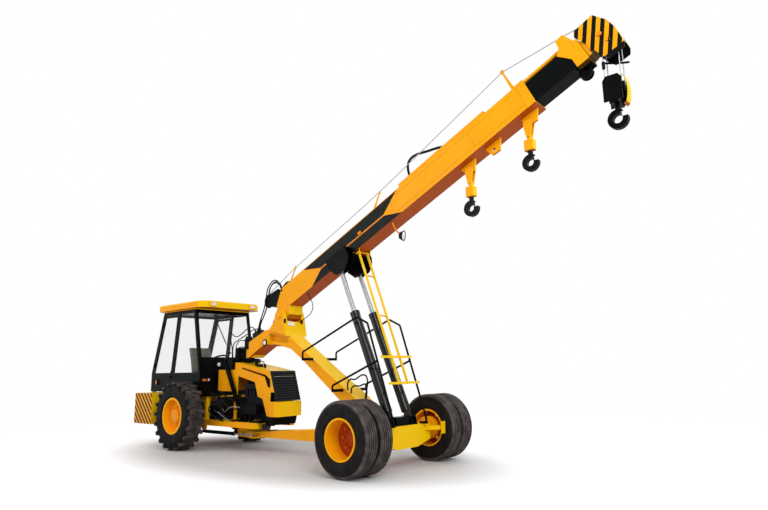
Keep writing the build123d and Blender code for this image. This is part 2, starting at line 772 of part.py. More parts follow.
weight_low_z = 636.0
with BuildPart() as front_weight:
    with BuildSketch(plan_plane(weight_low_z)):
        with BuildLine():
            Polyline(
                (-2660, -300), (-2530, -300), (-2450, -260), (-2450, 260), (-2530, 300), (-2660, 300), close=True
            )
        make_face()
    extrude(amount=254)
front_weight.part.label = "front_weight"
export_step(front_weight.part, "parts/front_weight.step")

with BuildPart() as weight_box:
    with BuildSketch(side_plane()):
        with BuildLine():
            Polyline(
                (-2790, weight_low_z - seat_gap), (-2570, weight_low_z - seat_gap), (-2615, 488), (-2700, 478),
                (-2790, 488), close=True,
            )
        make_face()
    extrude(amount=270, both=True)
    with BuildSketch(plan_plane(bar_top_z + seat_gap)):
        slab(-2930, -2780, -bar_y, bar_y)
    extrude(amount=30)
weight_box.part.label = "weight_box"
export_step(weight_box.part, "parts/weight_box.step")

# battery boxes on legs, one over each chassis bar
for side_name, side in (("right", -1), ("left", 1)):
    with BuildPart() as battery_box:
        with BuildSketch(plan_plane(670)):
            slab(-3360, -2900, *sorted((side * 290, side * bar_y)))
        extrude(amount=178)
        chamfer(battery_box.faces().sort_by(Axis.Z)[-1].edges(), length=12)
        with BuildSketch(plan_plane(bar_top_z + seat_gap)):
            for leg_x in (-3220, -3080):
                with Locations((leg_x, side * (bar_y - 45))):
                    Rectangle(40, 70)
        extrude(amount=671 - bar_top_z - seat_gap)
    battery_box.part.label = f"battery_box_{side_name}"
    export_step(battery_box.part, f"parts/battery_box_{side_name}.step")

# black yoke that carries the upper steering pin
yoke_y = 330.0
yoke_plate = 36.0
yoke_back_x = -3880.0
yoke_low_z = 1618.0
yoke_box_low_z = 1482.0
yoke_box_rear_x = -4020.0
yoke_box_front_x = -3735.0

with BuildPart() as pivot_yoke:
    for side in (-1, 1):
        with BuildSketch(side_plane(side * yoke_y + 20)):
            with BuildLine():
                Polyline(
                    (-3395, bar_top_z + seat_gap), (-3305, bar_top_z + seat_gap), (-3950, yoke_low_z + yoke_plate),
                    (-4040, yoke_low_z + yoke_plate), close=True,
                )
            make_face()
        extrude(amount=40)
        with BuildSketch(plan_plane(bar_top_z + seat_gap)):
            with Locations((-3345, side * (yoke_y + 25))):
                Rectangle(160, 90)
        extrude(amount=20)
    with BuildSketch(plan_plane(yoke_box_low_z)):
        slab(yoke_box_rear_x, yoke_box_front_x, -yoke_y, yoke_y)
    extrude(amount=yoke_low_z + yoke_plate - yoke_box_low_z)
    with BuildSketch(plan_plane(yoke_low_z)):
        slab(yoke_back_x - 60, steer_axis_x, -tongue_radius, tongue_radius)
        with Locations((steer_axis_x, 0)):
            Circle(tongue_radius)
    extrude(amount=yoke_plate)
    with BuildSketch(plan_plane(tongue_top_z + moving_gap)):
        slab(yoke_back_x - 60, steer_axis_x, -yoke_top_radius, yoke_top_radius)
        with Locations((steer_axis_x, 0)):
            Circle(yoke_top_radius)
    extrude(amount=yoke_plate)
    with BuildSketch(side_plane()):
        with BuildLine():
            Polyline(
                (yoke_back_x - 90, yoke_low_z), (yoke_back_x, yoke_low_z),
                (yoke_back_x, tongue_top_z + moving_gap + yoke_plate),
                (yoke_back_x - 60, tongue_top_z + moving_gap + yoke_plate), close=True,
            )
        make_face()
    extrude(amount=120, both=True)
    with BuildSketch(plan_plane(yoke_low_z - 10)):
        with Locations((steer_axis_x, 0)):
            Circle(steer_pin_radius)
    extrude(amount=tongue_top_z + moving_gap + yoke_plate + 20 - yoke_low_z)
pivot_yoke.part.label = "pivot_yoke"
export_step(pivot_yoke.part, "parts/pivot_yoke.step")

# ---------------------------------------------------------------- cab
rear_post_low, rear_post_top = -6130.0, -5750.0
mid_post_low, mid_post_top = -5300.0, -5130.0
front_post_low, front_post_top = -4330.0, -4580.0
cowl_top_z = 1700.0
door_gap = 6.0
door_bottom_z = 1090.0
roof_top_z = 2790.0
roof_thickness = 130.0


def post_x(low, top, z):
    """X of a raking post's line at height z."""
    return low + (top - low) * (z - cab_sill_z) / (cab_header_z - cab_sill_z)


def rear_edge(z):
    return post_x(rear_post_low, rear_post_top, z)


def mid_edge(z):
    return post_x(mid_post_low, mid_post_top, z)


def front_edge(z):
    return post_x(front_post_low, front_post_top, z)


door_header_z = cab_header_z - 70.0
hinge_y = cab_half_width + 14.0
hinge_radius = 13.0
hinge_pin_radius = 7.0
hinge_heights = (1560.0, 2380.0)
hinge_length = 60.0
hinge_lean = hypot(rear_post_top - rear_post_low, cab_header_z - cab_sill_z)
hinge_dir = ((rear_post_top - rear_post_low) / hinge_lean, 0, (cab_header_z - cab_sill_z) / hinge_lean)


def hinge_plane(side, height, along=0.0):
    """Plane across a door's hinge line at a height, moved along the line."""
    return Plane(
        (
            front_axle_x + rear_edge(height) + post + door_gap / 2 + along * hinge_dir[0], side * hinge_y,
            height + along * hinge_dir[2],
        ),
        x_dir=(0, 1, 0), z_dir=hinge_dir,
    )


cab_outline = [
    (rear_post_low, 1040), (rear_post_low, cab_sill_z), (rear_post_top, cab_header_z),
    (front_post_top, cab_header_z), (front_post_low, cab_sill_z), (front_post_low, cab_floor_z),
    (-5400, cab_floor_z), (-5440, 1040),
]
door_opening = [
    (rear_post_low + post, door_bottom_z), (rear_edge(cab_sill_z) + post, cab_sill_z),
    (rear_edge(door_header_z) + post, door_header_z), (mid_edge(door_header_z) - post / 2, door_header_z),
    (mid_edge(cab_sill_z) - post / 2, cab_sill_z), (mid_edge(door_bottom_z) - post / 2, door_bottom_z),
]
side_window = [
    (mid_edge(cab_sill_z) + post / 2, cab_sill_z), (mid_edge(door_header_z) + post / 2, door_header_z),
    (front_edge(door_header_z) - post, door_header_z), (front_edge(cab_sill_z) - post, cab_sill_z),
]

with BuildPart() as cab_shell:
    with BuildSketch(side_plane()):
        with BuildLine():
            Polyline(*cab_outline, close=True)
        make_face()
    extrude(amount=cab_half_width, both=True)
    with BuildSketch(side_plane()):
        with BuildLine():
            Polyline(*cab_outline, close=True)
        make_face()
        offset(amount=-cab_skin)
    extrude(amount=cab_half_width - cab_skin, both=True, mode=Mode.SUBTRACT)
    for opening in (door_opening, side_window):
        with BuildSketch(side_plane()):
            with BuildLine():
                Polyline(*opening, close=True)
            make_face()
        extrude(amount=cab_half_width + 1, both=True, mode=Mode.SUBTRACT)
    # windscreen and rear window
    with BuildSketch(cross_plane(front_post_low - 400)):
        with Locations((0, (cowl_top_z + door_header_z) / 2)):
            Rectangle(2 * (cab_half_width - post), door_header_z - cowl_top_z)
    extrude(amount=450, mode=Mode.SUBTRACT)
    with BuildSketch(cross_plane(rear_post_low - 50)):
        with Locations((0, (cab_sill_z + door_header_z) / 2)):
            Rectangle(2 * (cab_half_width - post), door_header_z - cab_sill_z)
    extrude(amount=450, mode=Mode.SUBTRACT)
    # lower halves of the door hinges, with their pins
    for side in (-1, 1):
        for height in hinge_heights:
            with BuildSketch(hinge_plane(side, height, -hinge_length / 2)):
                Circle(hinge_radius)
                with Locations((-side * hinge_radius, 18)):
                    Rectangle(16, 36)
            extrude(amount=hinge_length / 2 - 0.5)
            with BuildSketch(hinge_plane(side, height, -hinge_length / 2)):
                Circle(hinge_pin_radius)
            extrude(amount=hinge_length)
cab_shell.part.label = "cab_shell"
export_step(cab_shell.part, "parts/cab_shell.step")

pane = 6.0
with BuildPart() as cab_glass:
    for side in (-1, 1):
        with BuildSketch(side_plane(side * (cab_half_width - cab_skin / 2))):
            with BuildLine():
                Polyline(*side_window, close=True)
            make_face()
            offset(amount=-seat_gap)
        extrude(amount=pane / 2, both=True)
    for low, top, sill, inset in (
        (front_post_low, front_post_top, cowl_top_z, -cab_skin / 2), (rear_post_low, rear_post_top, cab_sill_z, cab_skin / 2),
    ):
        with BuildSketch(side_plane()):
            with BuildLine():
                Polyline(
                    (post_x(low, top, sill + seat_gap) + inset - pane / 2, sill + seat_gap),
                    (post_x(low, top, door_header_z - seat_gap) + inset - pane / 2, door_header_z - seat_gap),
                    (post_x(low, top, door_header_z - seat_gap) + inset + pane / 2, door_header_z - seat_gap),
                    (post_x(low, top, sill + seat_gap) + inset + pane / 2, sill + seat_gap), close=True,
                )
            make_face()
        extrude(amount=cab_half_width - post - seat_gap, both=True)
cab_glass.part.label = "cab_glass"
export_step(cab_glass.part, "parts/cab_glass.step")

with BuildPart() as cab_roof:
    with BuildSketch(plan_plane(roof_top_z - roof_thickness)):
        with BuildLine():
            Polyline(
                (-5920, -600), (-5800, -720), (-4380, -720), (-4240, -590), (-4240, 590), (-4380, 720),
                (-5800, 720), (-5920, 600), close=True,
            )
        make_face()
    extrude(amount=roof_thickness)
    chamfer(cab_roof.faces().sort_by(Axis.Z)[-1].edges(), length=25)
    with BuildSketch(plan_plane(cab_header_z)):
        with Locations(((rear_post_top + front_post_top) / 2, 0)):
            Rectangle(front_post_top - rear_post_top, 2 * cab_half_width)
    extrude(amount=roof_top_z - roof_thickness - cab_header_z)
cab_roof.part.label = "cab_roof"
export_step(cab_roof.part, "parts/cab_roof.step")

door_thickness = 28.0
door_frame = 50.0
for side_name, side in (("right", -1), ("left", 1)):
    door_face_y = side * cab_half_width
    with BuildPart() as door:
        with BuildSketch(side_plane(door_face_y)):
            with BuildLine():
                Polyline(*door_opening, close=True)
            make_face()
            offset(amount=-door_gap)
        extrude(amount=side * door_thickness)
        with BuildSketch(side_plane(door_face_y)):
            with BuildLine():
                Polyline(
                    (rear_edge(cab_sill_z) + post + door_frame, cab_sill_z),
                    (rear_edge(door_header_z - door_frame) + post + door_frame, door_header_z - door_frame),
                    (mid_edge(door_header_z - door_frame) - post / 2 - door_frame, door_header_z - door_frame),
                    (mid_edge(cab_sill_z) - post / 2 - door_frame, cab_sill_z), close=True,
                )
            make_face()
        extrude(amount=side * door_thickness, mode=Mode.SUBTRACT)
        # upper halves of the hinges
        for height in hinge_heights:
            with BuildSketch(hinge_plane(side, height, seat_gap)):
                Circle(hinge_radius)
                with Locations((-side * hinge_radius, -20)):
                    Rectangle(10, 40)
            extrude(amount=hinge_length / 2)
            with BuildSketch(hinge_plane(side, height)):
                Circle(hinge_pin_radius + running)
            extrude(amount=hinge_length, mode=Mode.SUBTRACT)
        # handle near the middle post
        with BuildSketch(side_plane(door_face_y)):
            with Locations((-5420, 1330)):
                Rectangle(110, 30)
        extrude(amount=-side * 30)
    door.part.label = f"door_{side_name}"
    export_step(door.part, f"parts/door_{side_name}.step")
    with BuildPart() as door_glass:
        with BuildSketch(side_plane(door_face_y - side * door_thickness / 2)):
            with BuildLine():
                Polyline(
                    (rear_edge(cab_sill_z) + post + door_frame, cab_sill_z),
                    (rear_edge(door_header_z - door_frame) + post + door_frame, door_header_z - door_frame),
                    (mid_edge(door_header_z - door_frame) - post / 2 - door_frame, door_header_z - door_frame),
                    (mid_edge(cab_sill_z) - post / 2 - door_frame, cab_sill_z), close=True,
                )
            make_face()
            offset(amount=-seat_gap)
        extrude(amount=pane / 2, both=True)
    door_glass.part.label = f"door_glass_{side_name}"
    export_step(door_glass.part, f"parts/door_glass_{side_name}.step")

with BuildPart() as seat:
    with BuildSketch(side_plane()):
        with BuildLine():
            Polyline(
                (-5120, 1360), (-5180, 1420), (-5330, 1960), (-5420, 1960), (-5300, 1360), (-5280, 1290),
                (-4860, 1300), (-4840, 1400), (-4880, 1420), close=True,
            )
        make_face()
    extrude(amount=240, both=True)
    with BuildSketch(plan_plane(cab_floor_z + cab_skin + seat_gap)):
        with Locations((-5080, 0)):
            Rectangle(320, 320)
    extrude(amount=1310 - cab_floor_z - cab_skin)
seat.part.label = "seat"
export_step(seat.part, "parts/seat.step")

column_foot = (-4480, cab_floor_z + cab_skin + seat_gap)
with BuildPart() as steering_column:
    with BuildSketch(side_plane()):
        with BuildLine():
            Polyline(
                (-4520, column_foot[1]), (-4380, column_foot[1]), (-4400, 1500), (-4640, 1640), (-4660, 1610),
                (-4480, 1500), close=True,
            )
        make_face()
    extrude(amount=50, both=True)
    with BuildSketch(Plane((front_axle_x - 4660, 0, 1640), x_dir=(0, 1, 0), z_dir=(-0.5, 0, 0.866))):
        Circle(190)
        Circle(165, mode=Mode.SUBTRACT)
        Rectangle(340, 30)
        Circle(45)
    extrude(amount=26)
    with BuildSketch(Plane((front_axle_x - 4660, 0, 1640), x_dir=(0, 1, 0), z_dir=(-0.5, 0, 0.866))):
        Circle(30)
    extrude(amount=-120)
steering_column.part.label = "steering_column"
export_step(steering_column.part, "parts/steering_column.step")

# ---------------------------------------------------------------- boom base section
foot_half_width = base_half_width
guide_y = -98.0
foot_outline = [
    (-90, 240), (160, base_bottom_t + base_depth), (420, base_bottom_t + base_depth),
    (420, base_bottom_t), (225, base_bottom_t), (150, -60), (60, -100), (-60, -80), (-100, 0),
]

with BuildPart() as boom_base:
    with BuildSketch(boom_section(300)):
        with Locations((0, base_bottom_t + base_depth / 2)):
            Rectangle(2 * base_half_width, base_depth)
    extrude(amount=base_end_s - 300)
    with BuildSketch(boom_section(400)):
        with Locations((0, base_bottom_t + base_depth / 2)):
            Rectangle(2 * (base_half_width - base_wall), base_depth - 2 * base_wall)
    extrude(amount=base_end_s, mode=Mode.SUBTRACT)
    with BuildSketch(boom_side()):
        with BuildLine():
            Polyline(*foot_outline, close=True)
        make_face()
    extrude(amount=foot_half_width, both=True)
    with BuildSketch(boom_side()):
        Circle(boom_pin_radius + running)
    extrude(amount=foot_half_width + 1, both=True, mode=Mode.SUBTRACT)
    # collar at the mouth
    with BuildSketch(boom_section(base_end_s - 130)):
        with Locations((0, base_bottom_t + base_depth / 2)):
            Rectangle(2 * base_half_width + 2 * collar, base_depth + 2 * collar)
            Rectangle(2 * base_half_width - 1, base_depth - 1, mode=Mode.SUBTRACT)
    extrude(amount=130)
    # wear pads round the second section, top and bottom and sides
    pad_top = base_bottom_t + base_depth - base_wall
    pad_low = base_bottom_t + base_wall
    second_top_t = second_bottom_t + second_depth
    with BuildSketch(boom_section(base_end_s - 160)):
        slab(-80, 80, pad_low - 1, second_bottom_t - slide_gap)
        slab(-80, 80, second_top_t + slide_gap, pad_top + 1)
        for side in (-1, 1):
            pad_edges = sorted((side * (second_half_width + slide_gap), side * (base_half_width - base_wall + 1)))
            slab(*pad_edges, 170, 330)
    extrude(amount=150)
    # lugs under the boom for the hooks, and a plain one
    for lug_s, lug_hole_s in ((4365, 4340), (4830, 4801), (5470, 5391)):
        with BuildSketch(boom_side()):
            with BuildLine():
                Polyline(
                    (lug_s - 150, base_bottom_t + 1), (lug_s - 90, -75), (lug_s + 40, -85),
                    (lug_s + 130, base_bottom_t + 1), close=True,
                )
            make_face()
            with Locations((lug_hole_s, -20)):
                Circle(26, mode=Mode.SUBTRACT)
        extrude(amount=16, both=True)
    # small lugs that carry the ladder's top bar
    for side in (-1, 1):
        with BuildSketch(boom_side(side * 135 + 8)):
            with BuildLine():
                Polyline((1970, base_bottom_t + 1), (2000, 15), (2060, 15), (2090, base_bottom_t + 1), close=True)
            make_face()
        extrude(amount=16)
    with BuildSketch(boom_side()):
        with Locations((2030, 40)):
            Circle(12)
    extrude(amount=143, both=True)
    # guides of the hoist rope: name -> foot s, top s, top t, ring radius
    rope_guides = {"rear": (350, 600, 650, 24), "middle": (2600, 2845, 672, 24), "front": (5478, 5468, 836, 34)}
    for guide_foot_s, guide_top_s, guide_top_t, ring_radius in rope_guides.values():
        with BuildSketch(boom_side(guide_y)):
            with BuildLine():
                Polyline(
                    (guide_foot_s - 26, base_bottom_t + base_depth - 1), (guide_foot_s + 26, base_bottom_t + base_depth - 1),
                    (guide_top_s + 12, guide_top_t), (guide_top_s - 12, guide_top_t), close=True,
                )
            make_face()
            with Locations((guide_top_s, guide_top_t)):
                Circle(ring_radius)
                Circle(0.5 * ring_radius, mode=Mode.SUBTRACT)
        extrude(amount=14)
boom_base.part.label = "boom_base"
export_step(boom_base.part, "parts/boom_base.step")

# black bracket that takes the rods of the lift cylinders
bracket_inner_y = base_half_width + seat_gap
bracket_cheek = 18.0
bracket_outer_y = lift_spacing + 62.0

with BuildPart() as lift_bracket:
    bracket_outline = [
        (1470, 20), (1450, 200), (1930, 200), (1950, 40), (1910, -60), (1800, -150), (1580, -150),
    ]
    for side in (-1, 1):
        for inner, thick in ((bracket_inner_y, 9.0), (bracket_outer_y, bracket_cheek)):
            with BuildSketch(boom_side(side * inner)):
                with BuildLine():
                    Polyline(*bracket_outline, close=True)
                make_face()
            extrude(amount=-side * thick)
        with BuildSketch(boom_side(side * bracket_inner_y)):
            with BuildLine():
                Polyline((1452, 158), (1450, 200), (1930, 200), (1935, 158), close=True)
            make_face()
        extrude(amount=-side * (bracket_outer_y + bracket_cheek - bracket_inner_y))
    with BuildSketch(boom_side()):
        with BuildLine():
            Polyline((1480, base_bottom_t - seat_gap), (1945, base_bottom_t - seat_gap), (1930, 45), (1490, 45), close=True)
        make_face()
    extrude(amount=bracket_inner_y + 4, both=True)
lift_bracket.part.label = "lift_bracket"
export_step(lift_bracket.part, "parts/lift_bracket.step")

# hoist winch behind the foot of the boom
winch_s = -270.0
winch_t = 450.0
winch_radius = 130.0
winch_half = 120.0


def foot_back_t(s):
    """Height of the boom foot's sloping back at s, with the gap a seated piece keeps."""
    (back_s, back_t), (top_s, top_t) = foot_outline[0], foot_outline[1]
    return back_t + (s - back_s) * (top_t - back_t) / (top_s - back_s) + 1.5 * seat_gap


with BuildPart() as winch:
    with BuildSketch(boom_side()):
        with Locations((winch_s, winch_t)):
            Circle(winch_radius - 25)
    extrude(amount=winch_half, both=True)
    for side in (-1, 1):
        with BuildSketch(boom_side(side * winch_half)):
            with Locations((winch_s, winch_t)):
                Circle(winch_radius)
        extrude(amount=-side * 14)
        # cheek that stands on the sloping back of the boom's foot
        with BuildSketch(boom_side(side * (winch_half + 12))):
            with BuildLine():
                Polyline(
                    (-85, foot_back_t(-85)), (130, foot_back_t(130)), (60, 520), (winch_s + 60, winch_t + 100),
                    (winch_s - 70, winch_t + 80), (winch_s - 100, winch_t - 30), (winch_s - 40, winch_t - 110),
                    close=True,
                )
            make_face()
        extrude(amount=-side * 16)
winch.part.label = "winch"
export_step(winch.part, "parts/winch.step")

# telescope cylinder on top of the boom: anchored rod here, barrel on the second section
base_top_t = base_bottom_t + base_depth
tele_rod_radius = 20.0
tele_barrel_radius = 38.0
tele_t = base_top_t + collar + moving_gap + tele_barrel_radius
tele_barrel_rear_s = 2950.0
tele_barrel_front_s = 6330.0
tele_rod_rear_s = 1980.0
guard_half_width = 80.0
guard_skin = 4.0
guard_rear_s = 3200.0
guard_front_s = 4950.0
guard_top_t = tele_t + tele_barrel_radius + moving_gap + guard_skin

with BuildPart() as telescope_rod:
    with BuildSketch(boom_section(tele_rod_rear_s)):
        with Locations((0, tele_t)):
            Circle(tele_rod_radius)
    extrude(amount=5350 - tele_rod_rear_s)
    with BuildSketch(boom_section(tele_rod_rear_s - 70)):
        slab(-45, 45, base_top_t + seat_gap, tele_t + 30)
    extrude(amount=80)
telescope_rod.part.label = "telescope_rod"
export_step(telescope_rod.part, "parts/telescope_rod.step")

with BuildPart() as boom_guard:
    with BuildSketch(boom_section(guard_rear_s)):
        slab(-guard_half_width, guard_half_width, base_top_t + seat_gap, guard_top_t)
        slab(-guard_half_width + guard_skin, guard_half_width - guard_skin, base_top_t, guard_top_t - guard_skin,
             mode=Mode.SUBTRACT)
    extrude(amount=guard_front_s - guard_rear_s)
boom_guard.part.label = "boom_guard"
export_step(boom_guard.part, "parts/boom_guard.step")

# ---------------------------------------------------------------- second and fly sections
with BuildPart() as second_section:
    with BuildSketch(boom_section(second_start_s)):
        with Locations((0, second_bottom_t + second_depth / 2)):
            Rectangle(2 * second_half_width, second_depth)
            Rectangle(2 * (second_half_width - second_wall), second_depth - 2 * second_wall, mode=Mode.SUBTRACT)
    extrude(amount=second_end_s - second_start_s)
    fly_top_t = fly_bottom_t + fly_depth
    second_inner_low = second_bottom_t + second_wall
    second_inner_top = second_bottom_t + second_depth - second_wall
    with BuildSketch(boom_section(second_end_s - 150)):
        slab(-60, 60, second_inner_low - 1, fly_bottom_t - slide_gap)
        slab(-60, 60, fly_top_t + slide_gap, second_inner_top + 1)
        for side in (-1, 1):
            pad_edges = sorted((side * (fly_half_width + slide_gap), side * (second_half_width - second_wall + 1)))
            slab(*pad_edges, 185, 305)
    extrude(amount=140)
    # rear pads inside the base section
    with BuildSketch(boom_section(second_start_s + 10)):
        slab(-80, 80, pad_low + slide_gap, second_bottom_t + 1)
        slab(-80, 80, second_top_t - 1, pad_top - slide_gap)
    extrude(amount=150)
second_section.part.label = "second_section"
export_step(second_section.part, "parts/second_section.step")

with BuildPart() as telescope_barrel:
    with BuildSketch(boom_section(tele_barrel_rear_s)):
        with Locations((0, tele_t)):
            Circle(tele_barrel_radius)
            Circle(tele_rod_radius + slide_gap, mode=Mode.SUBTRACT)
    extrude(amount=60)
    with BuildSketch(boom_section(tele_barrel_rear_s + 60)):
        with Locations((0, tele_t)):
            Circle(tele_barrel_radius)
            Circle(tele_barrel_radius - 8, mode=Mode.SUBTRACT)
    extrude(amount=tele_barrel_front_s - tele_barrel_rear_s - 100)
    with BuildSketch(boom_section(tele_barrel_front_s - 40)):
        with Locations((0, tele_t)):
            Circle(tele_barrel_radius)
    extrude(amount=40)
    # end collar and cheek plates on the second section
    with BuildSketch(boom_section(6300)):
        with Locations((0, second_bottom_t + second_depth / 2)):
            Rectangle(2 * second_half_width + 28.6, second_depth + 30)
            Rectangle(2 * (second_half_width + seat_gap), second_depth + 2 * seat_gap, mode=Mode.SUBTRACT)
    extrude(amount=175)
    for side in (-1, 1):
        with BuildSketch(boom_side(side * (second_half_width + seat_gap + 14))):
            with BuildLine():
                Polyline(
                    (6170, 405), (6245, 485), (6254, 605), (6369, 613), (6475, 330), (6475, 100), (6363, 128), close=True
                )
            make_face()
        extrude(amount=side * 14)
    with BuildSketch(boom_side()):
        with Locations((6300, tele_t)):
            Circle(22)
    extrude(amount=second_half_width + 10, both=True)
telescope_barrel.part.label = "telescope_barrel"
export_step(telescope_barrel.part, "parts/telescope_barrel.step")

with BuildPart() as fly_section:
    with BuildSketch(boom_section(fly_start_s)):
        with Locations((0, fly_bottom_t + fly_depth / 2)):
            Rectangle(2 * fly_half_width, fly_depth)
            Rectangle(2 * (fly_half_width - fly_wall), fly_depth - 2 * fly_wall, mode=Mode.SUBTRACT)
    extrude(amount=fly_end_s - 150 - fly_start_s)
    with BuildSketch(boom_section(fly_start_s + 10)):
        slab(-60, 60, second_inner_low + slide_gap, fly_bottom_t + 1)
        slab(-60, 60, fly_top_t - 1, second_inner_top - slide_gap)
    extrude(amount=120)
    with BuildSketch(boom_section(fly_end_s - 150)):
        slab(-fly_half_width, fly_half_width, fly_bottom_t, fly_top_t)
    extrude(amount=20)
fly_section.part.label = "fly_section"
export_step(fly_section.part, "parts/fly_section.step")

with BuildPart() as boom_head:
    for side in (-1, 1):
        with BuildSketch(boom_side(side * head_half_width)):
            with BuildLine():
                Polyline(*head_outline, close=True)
            make_face()
        extrude(amount=side * head_plate)
    # cover round the top and front, and the web that joins the fly section
    with BuildSketch(boom_side()):
        with BuildLine():
            Polyline(
                (6500, 550), (6780, 560), (6880, 360), (6905, 190), (6890, 40), (6880, 190), (6860, 352),
                (6770, 548), (6510, 538), close=True,
            )
        make_face()
    extrude(amount=head_half_width, both=True)
    with BuildSketch(boom_side()):
        with BuildLine():
            Polyline((6530.3, 130), (6530.3, 360), (6560, 360), (6575, 130), close=True)
        make_face()
    extrude(amount=head_half_width, both=True)
    with BuildSketch(boom_side()):
        with Locations((sheave_s, sheave_t)):
            Circle(25)
    extrude(amount=head_half_width + 15, both=True)
boom_head.part.label = "boom_head"
export_step(boom_head.part, "parts/boom_head.step")

with BuildPart() as head_sheaves:
    for side in (-1, 1):
        with BuildSketch(boom_side(side * 70 + 18)):
            with Locations((sheave_s, sheave_t)):
                Circle(sheave_radius + 12)
                Circle(25 + seat_gap, mode=Mode.SUBTRACT)
        extrude(amount=36)
head_sheaves.part.label = "head_sheaves"
export_step(head_sheaves.part, "parts/head_sheaves.step")

# ---------------------------------------------------------------- hook block on its falls
block_x = boom_x(sheave_s, sheave_t)
block_pivot_z = boom_z(sheave_s, sheave_t)
block_top_z = 4930.0
fall_radius = 7.0
fall_offset = sheave_radius + 12 + fall_radius + seat_gap
sheave_y = 70.0

with BuildPart() as hoist_falls:
    for side in (-1, 1):
        for fall in (-1, 1):
            with BuildSketch(plan_plane(block_top_z - 110)):
                with Locations((block_x + fall * fall_offset, side * sheave_y)):
                    Circle(fall_radius)
            extrude(amount=block_pivot_z - block_top_z + 110)
hoist_falls.part.label = "hoist_falls"
export_step(hoist_falls.part, "parts/hoist_falls.step")

with BuildPart() as hook_block:
    for side in (-1, 1):
        with BuildSketch(side_plane(side * 118)):
            with BuildLine():
                Polyline(
                    (block_x - 75, block_top_z - 20), (block_x + 75, block_top_z - 20),
                    (block_x + 115, block_top_z - 75), (block_x + 115, block_top_z - 350),
                    (block_x - 115, block_top_z - 350), (block_x - 115, block_top_z - 75), close=True,
                )
            make_face()
        extrude(amount=-side * 14)
        with BuildSketch(side_plane(side * sheave_y + 20)):
            with Locations((block_x, block_top_z - 110)):
                Circle(sheave_radius + 12)
        extrude(amount=40)
    with BuildSketch(side_plane()):
        with Locations((block_x, block_top_z - 110)):
            Circle(28)
    extrude(amount=140, both=True)
    with BuildSketch(side_plane()):
        with Locations((block_x, block_top_z - 320)):
            Rectangle(110, 110)
    extrude(amount=119, both=True)
    # hook shank and hook
    with BuildSketch(plan_plane(block_top_z - 470)):
        with Locations((block_x, 0)):
            Circle(30)
    extrude(amount=120)
    with BuildSketch(side_plane()):
        with Locations((block_x, block_top_z - 560)):
            Circle(125)
            Circle(58, mode=Mode.SUBTRACT)
            with Locations((85, 65)):
                Rectangle(100, 90, mode=Mode.SUBTRACT)
    extrude(amount=35, both=True)
hook_block.part.label = "hook_block"
export_step(hook_block.part, "parts/hook_block.step")

# ---------------------------------------------------------------- auxiliary hooks
shackle_drop = 190.0
swivel_drop = 405.0
hook_drop = 580.0
hook_radius = 118.0
for hook_name, hole_s in (("hook_middle", 4340), ("hook_front", 5391)):
    pin_x = boom_x(hole_s, -20)
    pin_z = boom_z(hole_s, -20)
    with BuildPart() as aux_hook:
        with BuildSketch(side_plane()):
            with Locations((pin_x, pin_z)):
                Circle(25)
        extrude(amount=44, both=True)
        # shackle straps, their lower pin, the swivel box and the hook with its eye
        for side in (-1, 1):
            with BuildSketch(side_plane(side * 30)):
                with BuildLine():
                    Polyline(
                        (pin_x - 58, pin_z + 24), (pin_x + 58, pin_z + 24), (pin_x + 66, pin_z - 40),
                        (pin_x + 30, pin_z - shackle_drop - 30), (pin_x - 30, pin_z - shackle_drop - 30),
                        (pin_x - 66, pin_z - 40), close=True,
                    )
                make_face()
            extrude(amount=-side * 12)
        with BuildSketch(side_plane()):
            with Locations((pin_x, pin_z - shackle_drop)):
                Circle(28)
        extrude(amount=42, both=True)
        with BuildSketch(plan_plane(pin_z - swivel_drop)):
            with Locations((pin_x, 0)):
                RectangleRounded(142, 100, 20)
        extrude(amount=144)
        with BuildSketch(plan_plane(pin_z - swivel_drop - 80)):
            with Locations((pin_x, 0)):
                Circle(34)
        extrude(amount=swivel_drop + 80 - shackle_drop)
        with BuildSketch(side_plane()):
            with Locations((pin_x, pin_z - hook_drop)):
                Circle(hook_radius)
                Circle(0.42 * hook_radius, mode=Mode.SUBTRACT)
                with Locations((0.7 * hook_radius, 0.5 * hook_radius)):
                    Rectangle(0.8 * hook_radius, 0.7 * hook_radius, mode=Mode.SUBTRACT)
        extrude(amount=32, both=True)
    aux_hook.part.label = hook_name
    export_step(aux_hook.part, f"parts/{hook_name}.step")

# ---------------------------------------------------------------- lift cylinders
lift_eye_x = boom_x(lift_eye_s, lift_eye_t)
lift_eye_z = boom_z(lift_eye_s, lift_eye_t)
lift_length = hypot(lift_eye_x - lift_base_x, lift_eye_z - lift_base_z)
lift_dir = ((lift_eye_x - lift_base_x) / lift_length, 0, (lift_eye_z - lift_base_z) / lift_length)


def lift_section(distance):
    """Cross-section of the lift cylinders at a distance from their foot pins."""
    return Plane(
        (front_axle_x + lift_base_x + distance * lift_dir[0], 0, lift_base_z + distance * lift_dir[2]),
        x_dir=(0, 1, 0), z_dir=lift_dir,
    )


